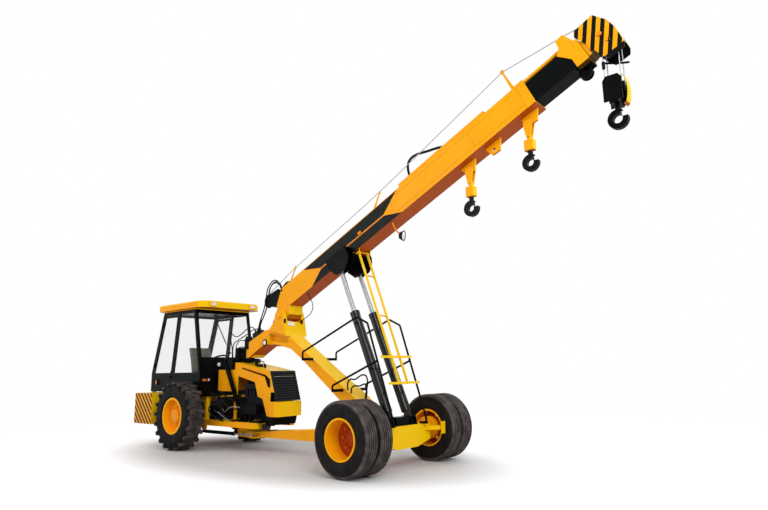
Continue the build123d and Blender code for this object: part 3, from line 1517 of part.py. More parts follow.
with BuildPart() as lift_barrels:
    for side in (-1, 1):
        with BuildSketch(lift_section(135)):
            with Locations((side * lift_spacing, 0)):
                Circle(lift_barrel_radius)
        extrude(amount=40)
        with BuildSketch(lift_section(175)):
            with Locations((side * lift_spacing, 0)):
                Circle(lift_barrel_radius)
                Circle(lift_barrel_bore, mode=Mode.SUBTRACT)
        extrude(amount=lift_barrel_length - 60 - 175)
        with BuildSketch(lift_section(lift_barrel_length - 60)):
            with Locations((side * lift_spacing, 0)):
                Circle(lift_barrel_radius + 5)
                Circle(lift_rod_radius + slide_gap, mode=Mode.SUBTRACT)
        extrude(amount=60)
        with BuildSketch(side_plane(side * lift_spacing)):
            with Locations((lift_base_x, lift_base_z)):
                Circle(48)
        extrude(amount=clevis_half - 6, both=True)
        with BuildSketch(lift_section(20)):
            with Locations((side * lift_spacing, 0)):
                Rectangle(2 * (clevis_half - 6), 90)
        extrude(amount=120)
        with BuildSketch(side_plane(side * lift_spacing)):
            with Locations((lift_base_x, lift_base_z)):
                Circle(lift_pin_radius + running)
        extrude(amount=60, both=True, mode=Mode.SUBTRACT)
lift_barrels.part.label = "lift_barrels"
export_step(lift_barrels.part, "parts/lift_barrels.step")

lift_piston_at = 820.0
with BuildPart() as lift_rods:
    for side in (-1, 1):
        with BuildSketch(lift_section(lift_piston_at)):
            with Locations((side * lift_spacing, 0)):
                Circle(lift_rod_radius)
        extrude(amount=lift_length - 20 - lift_piston_at)
        with BuildSketch(lift_section(lift_piston_at)):
            with Locations((side * lift_spacing, 0)):
                Circle(lift_barrel_bore - slide_gap)
        extrude(amount=60)
        with BuildSketch(side_plane(side * lift_spacing)):
            with Locations((lift_eye_x, lift_eye_z)):
                Circle(52)
        extrude(amount=36, both=True)
lift_rods.part.label = "lift_rods"
export_step(lift_rods.part, "parts/lift_rods.step")

# ---------------------------------------------------------------- ladder hung from the boom
ladder_lean = 20.8
ladder_length = 2250.0
ladder_step = 430.0
ladder_top_x = boom_x(2030, 40)
ladder_top_z = boom_z(2030, 40)
ladder_dir = (sin(radians(ladder_lean)), 0, -cos(radians(ladder_lean)))
stile_y = 100.0
step_ahead = 22.0               # wide steps in front of the stiles' middle


def ladder_section(distance):
    """Cross-section of the ladder at a distance below its top bar."""
    return Plane(
        (front_axle_x + ladder_top_x + distance * ladder_dir[0], 0, ladder_top_z + distance * ladder_dir[2]),
        x_dir=(0, 1, 0), z_dir=ladder_dir,
    )


with BuildPart() as boom_ladder:
    for side in (-1, 1):
        with BuildSketch(ladder_section(20)):
            with Locations((side * stile_y, 0)):
                Rectangle(22, 34)
        extrude(amount=ladder_length - 20)
        with BuildSketch(side_plane(side * stile_y)):
            with Locations((ladder_top_x, ladder_top_z)):
                Circle(27)
        extrude(amount=11, both=True)
    with BuildSketch(side_plane()):
        with Locations((ladder_top_x, ladder_top_z)):
            Circle(12 + running)
    extrude(amount=140, both=True, mode=Mode.SUBTRACT)
    for rung in (430, 1130):
        with BuildSketch(side_plane()):
            with Locations((ladder_top_x + rung * ladder_dir[0], ladder_top_z + rung * ladder_dir[2])):
                Circle(13)
        extrude(amount=stile_y, both=True)
    for rung in (ladder_length - ladder_step, ladder_length - 18):
        with BuildSketch(side_plane()):
            with Locations((ladder_top_x + rung * ladder_dir[0] + step_ahead, ladder_top_z + rung * ladder_dir[2])):
                Rectangle(30, 34)
        extrude(amount=355, both=True)
boom_ladder.part.label = "boom_ladder"
export_step(boom_ladder.part, "parts/boom_ladder.step")

# ---------------------------------------------------------------- steering cylinders
steer_rear_x = -4560.0
steer_rear_y = 345.0
steer_barrel_radius = 32.0
steer_rod_radius = 16.0
steer_length = hypot(steer_ear_x - steer_rear_x, steer_ear_y - steer_rear_y)

for side_name, side in (("right", -1), ("left", 1)):
    steer_dir = (
        (steer_ear_x - steer_rear_x) / steer_length, side * (steer_ear_y - steer_rear_y) / steer_length, 0,
    )

    def steer_section(distance):
        """Cross-section of a steering cylinder at a distance from its rear pin."""
        return Plane(
            (front_axle_x + steer_rear_x + distance * steer_dir[0], side * steer_rear_y + distance * steer_dir[1],
             steer_cyl_z),
            x_dir=(0, 0, 1), z_dir=steer_dir,
        )

    with BuildPart() as steer_barrel:
        with BuildSketch(steer_section(60)):
            Circle(steer_barrel_radius)
        extrude(amount=30)
        with BuildSketch(steer_section(90)):
            Circle(steer_barrel_radius)
            Circle(24, mode=Mode.SUBTRACT)
        extrude(amount=790)
        with BuildSketch(steer_section(880)):
            Circle(steer_barrel_radius + 3)
            Circle(steer_rod_radius + slide_gap, mode=Mode.SUBTRACT)
        extrude(amount=40)
        with BuildSketch(steer_section(24)):
            Rectangle(40, 40)
        extrude(amount=40)
        with BuildSketch(plan_plane(steer_cyl_z - 24)):
            with Locations((steer_rear_x, side * steer_rear_y)):
                Circle(36)
        extrude(amount=48)
        with BuildSketch(plan_plane(steer_cyl_z - 30)):
            with Locations((steer_rear_x, side * steer_rear_y)):
                Circle(18 + running)
        extrude(amount=60, mode=Mode.SUBTRACT)
    steer_barrel.part.label = f"steer_barrel_{side_name}"
    export_step(steer_barrel.part, f"parts/steer_barrel_{side_name}.step")

    with BuildPart() as steer_rod:
        with BuildSketch(steer_section(400)):
            Circle(steer_rod_radius)
        extrude(amount=steer_length - 420)
        with BuildSketch(steer_section(400)):
            Circle(24 - slide_gap)
        extrude(amount=40)
        with BuildSketch(plan_plane(steer_cyl_z - 22)):
            with Locations((steer_ear_x, side * steer_ear_y)):
                Circle(32)
        extrude(amount=44)
    steer_rod.part.label = f"steer_rod_{side_name}"
    export_step(steer_rod.part, f"parts/steer_rod_{side_name}.step")
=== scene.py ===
"""Looks of the articulated mobile crane: finishes for its CAD nodes, fittings that ride on them, and the studio."""

import logging
import math
from dataclasses import dataclass, field
from enum import Enum
from typing import Callable, Iterable, Sequence, Union

import bpy
from mathutils import Matrix, Vector

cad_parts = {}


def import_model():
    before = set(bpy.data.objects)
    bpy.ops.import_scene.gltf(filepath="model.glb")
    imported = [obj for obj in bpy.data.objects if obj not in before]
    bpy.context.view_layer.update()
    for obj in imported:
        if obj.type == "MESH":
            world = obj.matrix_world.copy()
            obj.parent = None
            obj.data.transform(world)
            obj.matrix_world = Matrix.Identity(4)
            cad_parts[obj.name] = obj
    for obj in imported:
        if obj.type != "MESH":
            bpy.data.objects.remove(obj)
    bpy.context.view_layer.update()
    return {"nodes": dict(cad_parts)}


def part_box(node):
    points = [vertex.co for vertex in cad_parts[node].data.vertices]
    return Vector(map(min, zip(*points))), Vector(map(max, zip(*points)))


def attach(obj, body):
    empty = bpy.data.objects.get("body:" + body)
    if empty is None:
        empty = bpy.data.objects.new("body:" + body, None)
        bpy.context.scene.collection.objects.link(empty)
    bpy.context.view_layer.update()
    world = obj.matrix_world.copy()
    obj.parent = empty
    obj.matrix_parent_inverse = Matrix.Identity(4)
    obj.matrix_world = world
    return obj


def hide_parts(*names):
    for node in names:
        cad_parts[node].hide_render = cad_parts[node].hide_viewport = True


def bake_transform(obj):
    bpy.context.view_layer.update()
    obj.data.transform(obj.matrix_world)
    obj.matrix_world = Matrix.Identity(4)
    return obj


LOG = logging.getLogger("mobile_crane")

Point = tuple[float, float, float]
Pair = tuple[float, float]
Route = Sequence[Point]
Rgba = tuple[float, float, float, float]
Piece = bpy.types.Object
Socket = bpy.types.NodeSocket
Value = Union[Socket, float, Sequence[float]]

# the machine's datum: places are measured behind the front axle, from the middle and from the ground, in metres
BOOM_ANGLE = math.radians(25.28)
BOOM_PIVOT_BEHIND_AXLE = 2.5
BOOM_PIVOT_Z = 2.4
WHEELBASE = 4.646
FRONT_WHEEL_Y, FRONT_WHEEL_Z = 0.984, 0.509
REAR_WHEEL_Y, REAR_WHEEL_Z = 0.84, 0.622
CAB_FRONT_X = -4.34

SIDES = ((-1, "right"), (1, "left"))
AHEAD: Point = (1, 0, 0)
ACROSS: Point = (0, 1, 0)
UPRIGHT: Point = (0, 0, 1)

EDGE_ANGLE = 35.0       # edges that turn by less than this many degrees get no bevel
SIDE_FACING = 0.6       # a face looks sideways where its direction's Y part is over this
END_FACING = 0.9        # a face of a turned part is an end where it looks along the axis by over this
CURVE_STEPS = 12        # steps that a hose takes between two of its points
HOSE_SIDES = 4          # bevel resolution of a hose's round section
HOSE_SHADING = 60.0     # degrees up to which a hose is shaded smooth
MM = 0.001


# ------------------------------------------------------------------ small tools
def deselect() -> None:
    """Leaves edit mode and deselects everything."""
    if bpy.context.object and bpy.context.object.mode != "OBJECT":
        bpy.ops.object.mode_set(mode="OBJECT")
    bpy.ops.object.select_all(action="DESELECT")


def only(piece: Piece) -> None:
    """Selects one piece and makes it the active one.

    Args:
        piece: the piece.
    """
    deselect()
    piece.select_set(True)
    bpy.context.view_layer.objects.active = piece


def settle(piece: Piece) -> None:
    """Puts a piece's place and turn into its mesh."""
    only(piece)
    bpy.ops.object.transform_apply(location=True, rotation=True, scale=True)


def turn_to(axis: Sequence[float]) -> Point:
    """Gives the Euler turn that lays +Z along an axis."""
    return tuple(Vector(UPRIGHT).rotation_difference(Vector(axis).normalized()).to_euler())


def pick(piece: Piece, wanted: Callable[[bpy.types.MeshPolygon], bool]) -> None:
    """Selects the faces of a piece that a test wants, and enters edit mode in face mode.

    Args:
        piece: the piece.
        wanted: tells of each face whether it is wanted.
    """
    only(piece)
    bpy.ops.object.mode_set(mode="EDIT")
    bpy.ops.mesh.select_mode(type="FACE")
    bpy.ops.mesh.select_all(action="DESELECT")
    bpy.ops.object.mode_set(mode="OBJECT")
    for face in piece.data.polygons:
        face.select = wanted(face)
    bpy.ops.object.mode_set(mode="EDIT")


def pushed(shift: Sequence[float]) -> None:
    """Extrudes the picked faces by a shift."""
    bpy.ops.mesh.extrude_region_move(TRANSFORM_OT_translate={"value": tuple(shift)})


def second_finish() -> None:
    """Gives the picked faces the second of the piece's finishes."""
    bpy.context.object.active_material_index = 1
    bpy.ops.object.material_slot_assign()


def bevelled(piece: Piece, width: float, segments: int = 2) -> None:
    """Rounds a piece's sharp edges with a bevel that is applied.

    Args:
        piece: the object to round.
        width: the bevel's width in metres.
        segments: how many faces each edge gets.
    """
    only(piece)
    bevel = piece.modifiers.new("edge", "BEVEL")
    bevel.width, bevel.segments = width, segments
    bevel.limit_method, bevel.angle_limit = "ANGLE", math.radians(EDGE_ANGLE)
    bpy.ops.object.modifier_apply(modifier=bevel.name)


def eased(piece: Piece, width: float, segments: int = 2) -> Piece:
    """Puts a piece's place into its mesh and rounds its sharp edges.

    Args:
        piece: a primitive at its place.
        width: the bevel's width in metres.
        segments: how many faces each edge gets.

    Returns:
        The same piece.
    """
    settle(piece)
    bevelled(piece, width, segments)
    return piece


def smoothed(piece: Piece, angle: float) -> None:
    """Shades a piece smooth where its faces turn by less than an angle in degrees."""
    only(piece)
    bpy.ops.object.shade_smooth_by_angle(angle=math.radians(angle))


def drum(name: str, centre: Sequence[float], axis: Sequence[float], radius: float, length: float, sides: int) -> Piece:
    """Adds a round bar whose middle is at a point.

    Args:
        name: the object's name.
        centre: its middle, in metres.
        axis: the direction of its length.
        radius: its radius in metres.
        length: its length in metres.
        sides: how many faces go round it.

    Returns:
        The new object, with its place not yet in its mesh.
    """
    deselect()
    bpy.ops.mesh.primitive_cylinder_add(
        vertices=sides, radius=radius, depth=length, location=centre, rotation=turn_to(axis),
    )
    piece = bpy.context.object
    piece.name = name
    return piece


def plate(name: str, centre: Point, size: Point, turn: Point = (0, 0, 0)) -> Piece:
    """Adds a flat block.

    Args:
        name: the object's name.
        centre: its middle, in metres.
        size: its size along its own X, Y and Z.
        turn: its Euler turn in radians.

    Returns:
        The new object, with its place not yet in its mesh.
    """
    deselect()
    bpy.ops.mesh.primitive_cube_add(size=1, location=centre, rotation=turn, scale=size)
    piece = bpy.context.object
    piece.name = name
    return piece


def copies(name: str, model: Piece, places: Iterable[Matrix]) -> Piece:
    """Copies a model to each place, joins the copies and removes the model.

    Args:
        name: the joined object's name.
        model: an object at the origin whose place is in its mesh.
        places: one matrix for each copy.

    Returns:
        The joined object.
    """
    made = []
    for place in places:
        twin = model.copy()
        twin.data = model.data.copy()
        bpy.context.collection.objects.link(twin)
        twin.matrix_world = place
        made.append(twin)
    bpy.data.objects.remove(model)
    return joined(name, made)


def joined(name: str, parts: Sequence[Piece]) -> Piece:
    """Joins parts into one object whose place is in its mesh.

    Args:
        name: the joined object's name.
        parts: the objects to join, of which the first gives its frame.

    Returns:
        The joined object.
    """
    deselect()
    for part in parts:
        part.select_set(True)
    bpy.context.view_layer.objects.active = parts[0]
    bpy.ops.object.join()
    whole = bpy.context.object
    whole.name = name
    settle(whole)
    return whole


def hose(name: str, points: Route, radius: float) -> Piece:
    """Makes a round hose or pipe along a smooth curve that goes near its points.

    Args:
        name: the object's name.
        points: the control points, in metres.
        radius: the outer radius in metres.

    Returns:
        The hose as a mesh.
    """
    deselect()
    curve = bpy.data.curves.new(name, "CURVE")
    curve.dimensions = "3D"
    line = curve.splines.new("NURBS")
    line.points.add(len(points) - 1)
    for spot, point in zip(line.points, points):
        spot.co = (*point, 1.0)
    line.use_endpoint_u = True
    line.order_u = 3
    line.resolution_u = CURVE_STEPS
    curve.bevel_depth, curve.bevel_resolution, curve.use_fill_caps = radius, HOSE_SIDES, True
    piece = bpy.data.objects.new(name, curve)
    bpy.context.collection.objects.link(piece)
    only(piece)
    bpy.ops.object.convert(target="MESH")
    piece = bpy.context.object
    smoothed(piece, HOSE_SHADING)
    return piece


def bundle(name: str, routes: Sequence[Route], radius: float) -> Piece:
    """Makes several hoses of one size as one piece."""
    return joined(name, [hose(f"{name}_{index}", route, radius) for index, route in enumerate(routes)])


def prism(name: str, outline: Sequence[Pair], y: float, thick: float) -> Piece:
    """Models a flat plate from its outline in X and Z, standing across Y.

    Args:
        name: the object's name.
        outline: the corners as X and Z, in metres.
        y: the middle of its thickness.
        thick: its thickness in metres.

    Returns:
        The plate, with its place in its mesh.
    """
    deselect()
    bpy.ops.mesh.primitive_circle_add(vertices=len(outline), fill_type="NGON")
    piece = bpy.context.object
    piece.name = name
    for corner, (x, z) in zip(piece.data.vertices, outline):
        corner.co = (x, y - thick / 2, z)
    only(piece)
    bpy.ops.object.mode_set(mode="EDIT")
    bpy.ops.mesh.select_mode(type="FACE")
    bpy.ops.mesh.select_all(action="SELECT")
    pushed((0, thick, 0))
    bpy.ops.mesh.select_all(action="SELECT")
    bpy.ops.mesh.normals_make_consistent(inside=False)
    bpy.ops.object.mode_set(mode="OBJECT")
    return piece


@dataclass(frozen=True)
class Nut:
    """One hexagon nut on its washer, with its details as shares of its width over the flats or of its height."""

    across: float
    height: float
    chamfer: float = 0.08           # of the width
    chamfer_rise: float = 0.08      # of the height
    stud_inset: float = 0.18        # of the width
    stud_rise: float = 0.35         # of the height
    washer_radius: float = 0.72     # of the width
    washer_height: float = 0.15     # of the height
    washer_edge: float = 0.03       # of the height
    washer_sides: int = 20

    def model(self) -> Piece:
        """Models the nut standing on the origin along +Z, with its place in its mesh.

        Returns:
            The nut.
        """
        washer_height = self.washer_height * self.height
        middle = (0, 0, 0.5 * self.height + washer_height)
        nut = drum("nut", middle, UPRIGHT, self.across / math.sqrt(3), self.height, 6)
        settle(nut)
        pick(nut, lambda face: face.normal.z > END_FACING)
        bpy.ops.mesh.inset(thickness=self.chamfer * self.across)
        bpy.ops.transform.translate(value=(0, 0, self.chamfer_rise * self.height))
        bpy.ops.mesh.inset(thickness=self.stud_inset * self.across)
        pushed((0, 0, self.stud_rise * self.height))
        bpy.ops.object.mode_set(mode="OBJECT")
        washer = drum(
            "washer", (0, 0, washer_height / 2), UPRIGHT, self.washer_radius * self.across, washer_height,
            self.washer_sides,
        )
        return joined("nut", [nut, eased(washer, self.washer_edge * self.height, 1)])


def ring_places(centre: Point, axis: Point, radius: float, count: int, first: float = 0.0) -> list[Matrix]:
    """Gives places evenly round a circle, each with +Z along the circle's axis.

    Args:
        centre: the circle's middle.
        axis: the circle's axis.
        radius: the circle's radius in metres.
        count: how many places.
        first: the first place's angle in degrees.

    Returns:
        One matrix for each place.
    """
    turn = Vector(UPRIGHT).rotation_difference(Vector(axis).normalized()).to_matrix().to_4x4()
    base = Matrix.Translation(centre) @ turn
    angles = [math.radians(first) + 2 * math.pi * index / count for index in range(count)]
    return [base @ Matrix.Rotation(angle, 4, "Z") @ Matrix.Translation((radius, 0, 0)) for angle in angles]


@dataclass(frozen=True)
class Cushion:
    """A padded cushion: crowned on its +Z face, drawn in between its corners, with sewn channels and a piped edge.

    Shares run from -1 to 1 over the cushion's length, width and thickness.
    """

    name: str
    centre: Point
    size: Point
    lean: float                     # turn about Y, in degrees
    crown: float                    # how far the middle of the top stands above its edge
    channels: Sequence[float]       # where the sewn channels cross the length, as shares
    cuts: int = 31
    draw_in: float = 0.05
    rounding: float = 0.06
    seam_depth: float = 0.012
    seam_width: float = 0.035
    piping_radius: float = 0.006
    piping_inset: float = 0.012

    def padded_point(self, u: float, v: float, w: float) -> Point:
        """Gives the padded place of a point of the plain block.

        Args:
            u: its share along the length.
            v: its share along the width.
            w: its share of the thickness.

        Returns:
            The point in metres from the cushion's middle.
        """
        edge = max(abs(u), abs(v))
        on_rim = edge > 0.999
        drawn = 1 - self.draw_in * (1 - min(abs(u), abs(v)) ** 2) * on_rim * (1 - w * w * 0.3)
        width = drawn * (1 - self.rounding * max(0.0, edge - 0.8) * abs(w))
        full = (1 - u ** 4) * (1 - v ** 4)
        sewn = sum(math.exp(-((u - spot) / self.seam_width) ** 2) for spot in self.channels)
        lift = max(w, 0.0) * (self.crown * full - self.seam_depth * sewn * (1 - v ** 8))
        lift -= max(0.0, edge - 0.85) * 0.1 * w * self.size[2]
        length, breadth, thick = self.size
        return (0.5 * u * length * width, 0.5 * v * breadth * width, 0.5 * w * thick + lift)

    def piping(self) -> Piece:
        """Models the piped edge that runs round the top.

        Returns:
            The piping as a mesh.
        """
        x, y, z = (0.5 * value - self.piping_inset for value in self.size)
        corner = [(x, y * 0.9), (x * 0.97, y)]
        loop = [(x, 0), *corner, (0, y), *((-a, b) for a, b in reversed(corner))]
        loop += [*((-a, -b) for a, b in corner), (0, -y), *((a, -b) for a, b in reversed(corner)), (x, 0)]
        return hose("piping", [(a, b, z) for a, b in loop], self.piping_radius)

    def make(self) -> Piece:
        """Models the cushion and its piping, with their place in the mesh.

        Returns:
            The cushion.
        """
        deselect()
        bpy.ops.mesh.primitive_cube_add(size=1)
        pad = bpy.context.object
        only(pad)
        bpy.ops.object.mode_set(mode="EDIT")
        bpy.ops.mesh.subdivide(number_cuts=self.cuts)
        bpy.ops.object.mode_set(mode="OBJECT")
        for vertex in pad.data.vertices:
            vertex.co = self.padded_point(*(2 * value for value in vertex.co))
        smoothed(pad, 50)
        whole = joined(self.name, [pad, self.piping()])
        whole.location, whole.rotation_euler = self.centre, (0, math.radians(self.lean), 0)
        settle(whole)
        return whole


# ------------------------------------------------------------------ materials
class Colour(Enum):
    """The paint and material colours, as sRGB hex codes."""

    YELLOW = "F9A60A"
    # painted light: the brighter yellow of faces that look up or ahead
    SUNLIT_YELLOW = "FFD000"
    # painted shade: the dark orange of faces that look down
    SHADE_ORANGE = "A8380E"
    RIM_YELLOW = "FFB40A"
    # painted shade: the red-orange and darker gold of the wheels' recessed discs, also laid on the nuts there
    RIM_SHADE_RED = "B04418"
    RIM_SHADE_AMBER = "F09A1A"
    BRIGHT_ORANGE = "EE8A14"
    PALE_YELLOW = "FFD21C"
    SEAM = "5A2C06"
    BLACK_ENAMEL = "070A0A"
    BLACK_PLASTIC = "0C0D0E"
    RUBBER = "0F1010"
    ROAD_DUST = "5E5654"
    PALE_DUST = "6C6260"
    # painted shade: the darkness of the tread's grooves
    GROOVE_SHADE = "050506"
    WHITE_ENAMEL = "F2F2F0"
    STEEL = "A3A6A8"
    WIRE = "CFD2D4"
    # painted shade: the hollows between a rope's strands
    WIRE_HOLLOW_SHADE = "8A8D8F"
    IRON = "15171A"
    VINYL = "4A4232"
    WORN_VINYL = "6B614B"
    WHITE_LENS = "F4F4EE"
    AMBER_LENS = "F0780A"
    GLASS = "A9B4B0"
    FLOOR = "D9D9DA"


def linear(colour: Colour) -> Rgba:
    """Turns a colour's sRGB hex code into the linear colour that a shader takes."""
    levels = [int(colour.value[start:start + 2], 16) / 255 for start in (0, 2, 4)]
    return (*(level / 12.92 if level <= 0.04045 else ((level + 0.055) / 1.055) ** 2.4 for level in levels), 1.0)


def shaded(colour: Colour, share: float, lift: float = 0.0) -> Rgba:
    """Gives a colour's linear levels times a share, plus a lift."""
    return (*(min(1.0, level * share + lift) for level in linear(colour)[:3]), 1.0)


class Tree:
    """The node tree of a material or a world, with a single call that adds a node."""

    def __init__(self, owner: Union[bpy.types.Material, bpy.types.World]) -> None:
        """Empties the owner's tree.

        Args:
            owner: the material or world.
        """
        owner.use_nodes = True
        self.tree = owner.node_tree
        self.tree.nodes.clear()

    def add(self, kind: str, *values: Value, **named: Union[Value, str]) -> bpy.types.bpy_prop_collection:
        """Adds a node with its settings, and with values or links for its inputs.

        Args:
            kind: Blender's name of the node type, without the leading ShaderNode.
            *values: a value or an output for each of the first inputs.
            **named: a setting by its own small name, or an input's value or output: by name, with a capital letter
                and underscores for spaces, or as i0, i1 and so on for the input's number.

        Returns:
            The new node's outputs.
        """
        node = self.tree.nodes.new(f"ShaderNode{kind}")
        spots = dict(enumerate(values))
        for key, value in named.items():
            if key[0] == "i" and key[1:].isdigit():
                spots[int(key[1:])] = value
            elif key[0].isupper():
                spots[key.replace("_", " ")] = value
            else:
                setattr(node, key, value)
        for spot, value in spots.items():
            if isinstance(value, Socket):
                self.tree.links.new(value, node.inputs[spot])
            else:
                node.inputs[spot].default_value = value
        return node.outputs


class Nodes(Tree):
    """One material's node tree, round its Principled shader."""

    def __init__(self, name: str) -> None:
        """Starts a material of a name with its shader and output.

        Args:
            name: the material's name.
        """
        self.material = bpy.data.materials.new(name)
        super().__init__(self.material)
        self.shaded = self.add("BsdfPrincipled")[0]
        self.shader = self.shaded.node
        self.add("OutputMaterial", self.shaded)

    def show(self, closure: Socket) -> None:
        """Makes a shader the material's surface."""
        self.tree.links.new(closure, self.tree.get_output_node("ALL").inputs["Surface"])

    def place(self) -> Socket:
        """Gives the point in the object's own frame, in metres."""
        return self.add("TexCoord")["Object"]

    def parts(self) -> bpy.types.bpy_prop_collection:
        """Gives the X, Y and Z of the point in the object's own frame."""
        return self.add("SeparateXYZ", self.place())

    def facing(self) -> bpy.types.bpy_prop_collection:
        """Gives the X, Y and Z of the surface's direction in the object's own frame."""
        return self.add("SeparateXYZ", self.add("TexCoord")["Normal"])

    def sideways(self) -> Socket:
        """Gives one on faces that look left or right, and zero elsewhere."""
        lean = self.add("Math", self.facing()[1], operation="ABSOLUTE")[0]
        return self.add("Math", lean, SIDE_FACING, operation="GREATER_THAN")[0]

    def along_boom(self, pivot: Point) -> tuple[Socket, Socket]:
        """Gives the distance along the boom from its foot pin, and the height square to it.

        Args:
            pivot: the boom's foot pin.

        Returns:
            The two distances' outputs.
        """
        turned = self.add(
            "Mapping", vector_type="TEXTURE", Vector=self.place(), Location=pivot, Rotation=(0, -BOOM_ANGLE, 0),
        )
        split = self.add("SeparateXYZ", turned[0])
        return split[0], split[2]

    def within(self, value: Socket, low: float, high: float) -> Socket:
        """Gives one where a value lies between two limits, and zero elsewhere.

        Args:
            value: the output to test.
            low: the lower limit.
            high: the upper limit.

        Returns:
            The share's output.
        """
        over = self.add("Math", value, low, operation="GREATER_THAN")[0]
        under = self.add("Math", value, high, operation="LESS_THAN")[0]
        return self.add("Math", over, under, operation="MULTIPLY")[0]

    def noise(self, grain_mm: float, detail: float = 2.0) -> Socket:
        """Gives noise whose patches have a size in millimetres, with a number of finer layers."""
        return self.add("TexNoise", Vector=self.place(), Scale=1 / (grain_mm * MM), Detail=detail)["Fac"]

    def bump(self, height: Socket, depth_mm: float, strength: float) -> None:
        """Raises the surface by a height of up to a depth in millimetres."""
        raised = self.add("Bump", Height=height, Distance=depth_mm * MM, Strength=strength)
        self.tree.links.new(raised[0], self.shader.inputs["Normal"])

    def base(self, colour: Value) -> None:
        """Sets or links the shader's colour.

        Args:
            colour: a linear colour, or an output that gives one.
        """
        if isinstance(colour, Socket):
            self.tree.links.new(colour, self.shader.inputs["Base Color"])
        else:
            self.shader.inputs["Base Color"].default_value = colour

    def set(self, **values: float) -> None:
        """Sets constants on the shader's own sockets."""
        for key, value in values.items():
            self.shader.inputs[key.replace("_", " ")].default_value = value

    def uneven_gloss(self, low: float, high: float, grain_mm: float) -> None:
        """Lets the roughness wander between two values over patches of a size."""
        span = self.add("MapRange", self.noise(grain_mm, 4.0), 0.35, 0.65, low, high)
        self.tree.links.new(span[0], self.shader.inputs["Roughness"])


@dataclass(frozen=True)
class Finish:
    """Base of the finishes: a name, and a material built from its fields."""

    name: str

    def make(self) -> bpy.types.Material:
        """Builds the material."""
        raise NotImplementedError


@dataclass(frozen=True)
class PlateEnamel(Finish):
    """Two-pack enamel sprayed on welded plate, with painted light and shade: clear gold where it looks up or ahead,
    dark orange on its undersides.
    """

    colour: Colour
    # painted shade on faces that look down, and painted light on faces that look up or ahead
    under: Colour | None = None
    upper: Colour | None = None
    roughness: float = 0.34
    coat: float = 0.02
    specular: float = 0.09
    drift_mm: float = 420.0                 # patches over which the colour wanders
    deeper: Pair = (0.93, 0.84)             # shares of red and green in the deeper patches
    # the spans over which painted light and painted shade come in
    lit_span: Pair = (0.25, 0.8)            # how far a face looks up or ahead where it turns brighter
    shade_span: Pair = (-0.25, -0.7)        # and where it turns deeper, looking down
    strongest: float = 0.9                  # share of either at its strongest
    gloss_mm: float = 160.0
    peel_mm: float = 9.0                    # orange peel is about 2 mm across, drawn coarser so that it shows
    peel_depth_mm: float = 0.1

    def tone(self, nodes: Nodes) -> Socket:
        """Gives the paint's colour with its slow drift, painted light that brightens upper faces and painted shade that
        darkens undersides.

        Args:
            nodes: the tree to add to.

        Returns:
            The colour's output.
        """
        plain = linear(self.colour)
        deeper = (plain[0] * self.deeper[0], plain[1] * self.deeper[1], plain[2], 1.0)
        drift = nodes.add("MapRange", nodes.noise(self.drift_mm, 3.0), 0.4, 0.7, 0.0, 0.6)[0]
        colour = nodes.add("Mix", drift, data_type="RGBA", i6=plain, i7=deeper)[2]
        ahead, _, up = nodes.facing()
        # painted light on faces that look up or ahead
        if self.upper:
            toward = nodes.add("Math", ahead, up, operation="MAXIMUM")[0]
            lit = nodes.add("MapRange", toward, *self.lit_span, 0.0, self.strongest)[0]
            colour = nodes.add("Mix", lit, data_type="RGBA", i6=colour, i7=linear(self.upper))[2]
        # painted shade on faces that look down
        if self.under:
            down = nodes.add("MapRange", up, *self.shade_span, 0.0, self.strongest)[0]
            colour = nodes.add("Mix", down, data_type="RGBA", i6=colour, i7=linear(self.under))[2]
        return colour

    def finished(self, nodes: Nodes, colour: Value) -> bpy.types.Material:
        """Lays a colour on with the gloss of enamel: a thin coat over a fairly matt base, with orange peel.

        Args:
            nodes: the material's tree.
            colour: what the enamel shows.

        Returns:
            The finished material.
        """
        nodes.base(colour)
        nodes.uneven_gloss(self.roughness - 0.05, self.roughness + 0.08, self.gloss_mm)
        nodes.set(Coat_Weight=self.coat, Coat_Roughness=0.15, Specular_IOR_Level=self.specular)
        nodes.bump(nodes.noise(self.peel_mm, 1.0), self.peel_depth_mm, 0.4)
        return nodes.material

    def make(self) -> bpy.types.Material:
        """Builds the material."""
        nodes = Nodes(self.name)
        return self.finished(nodes, self.tone(nodes))


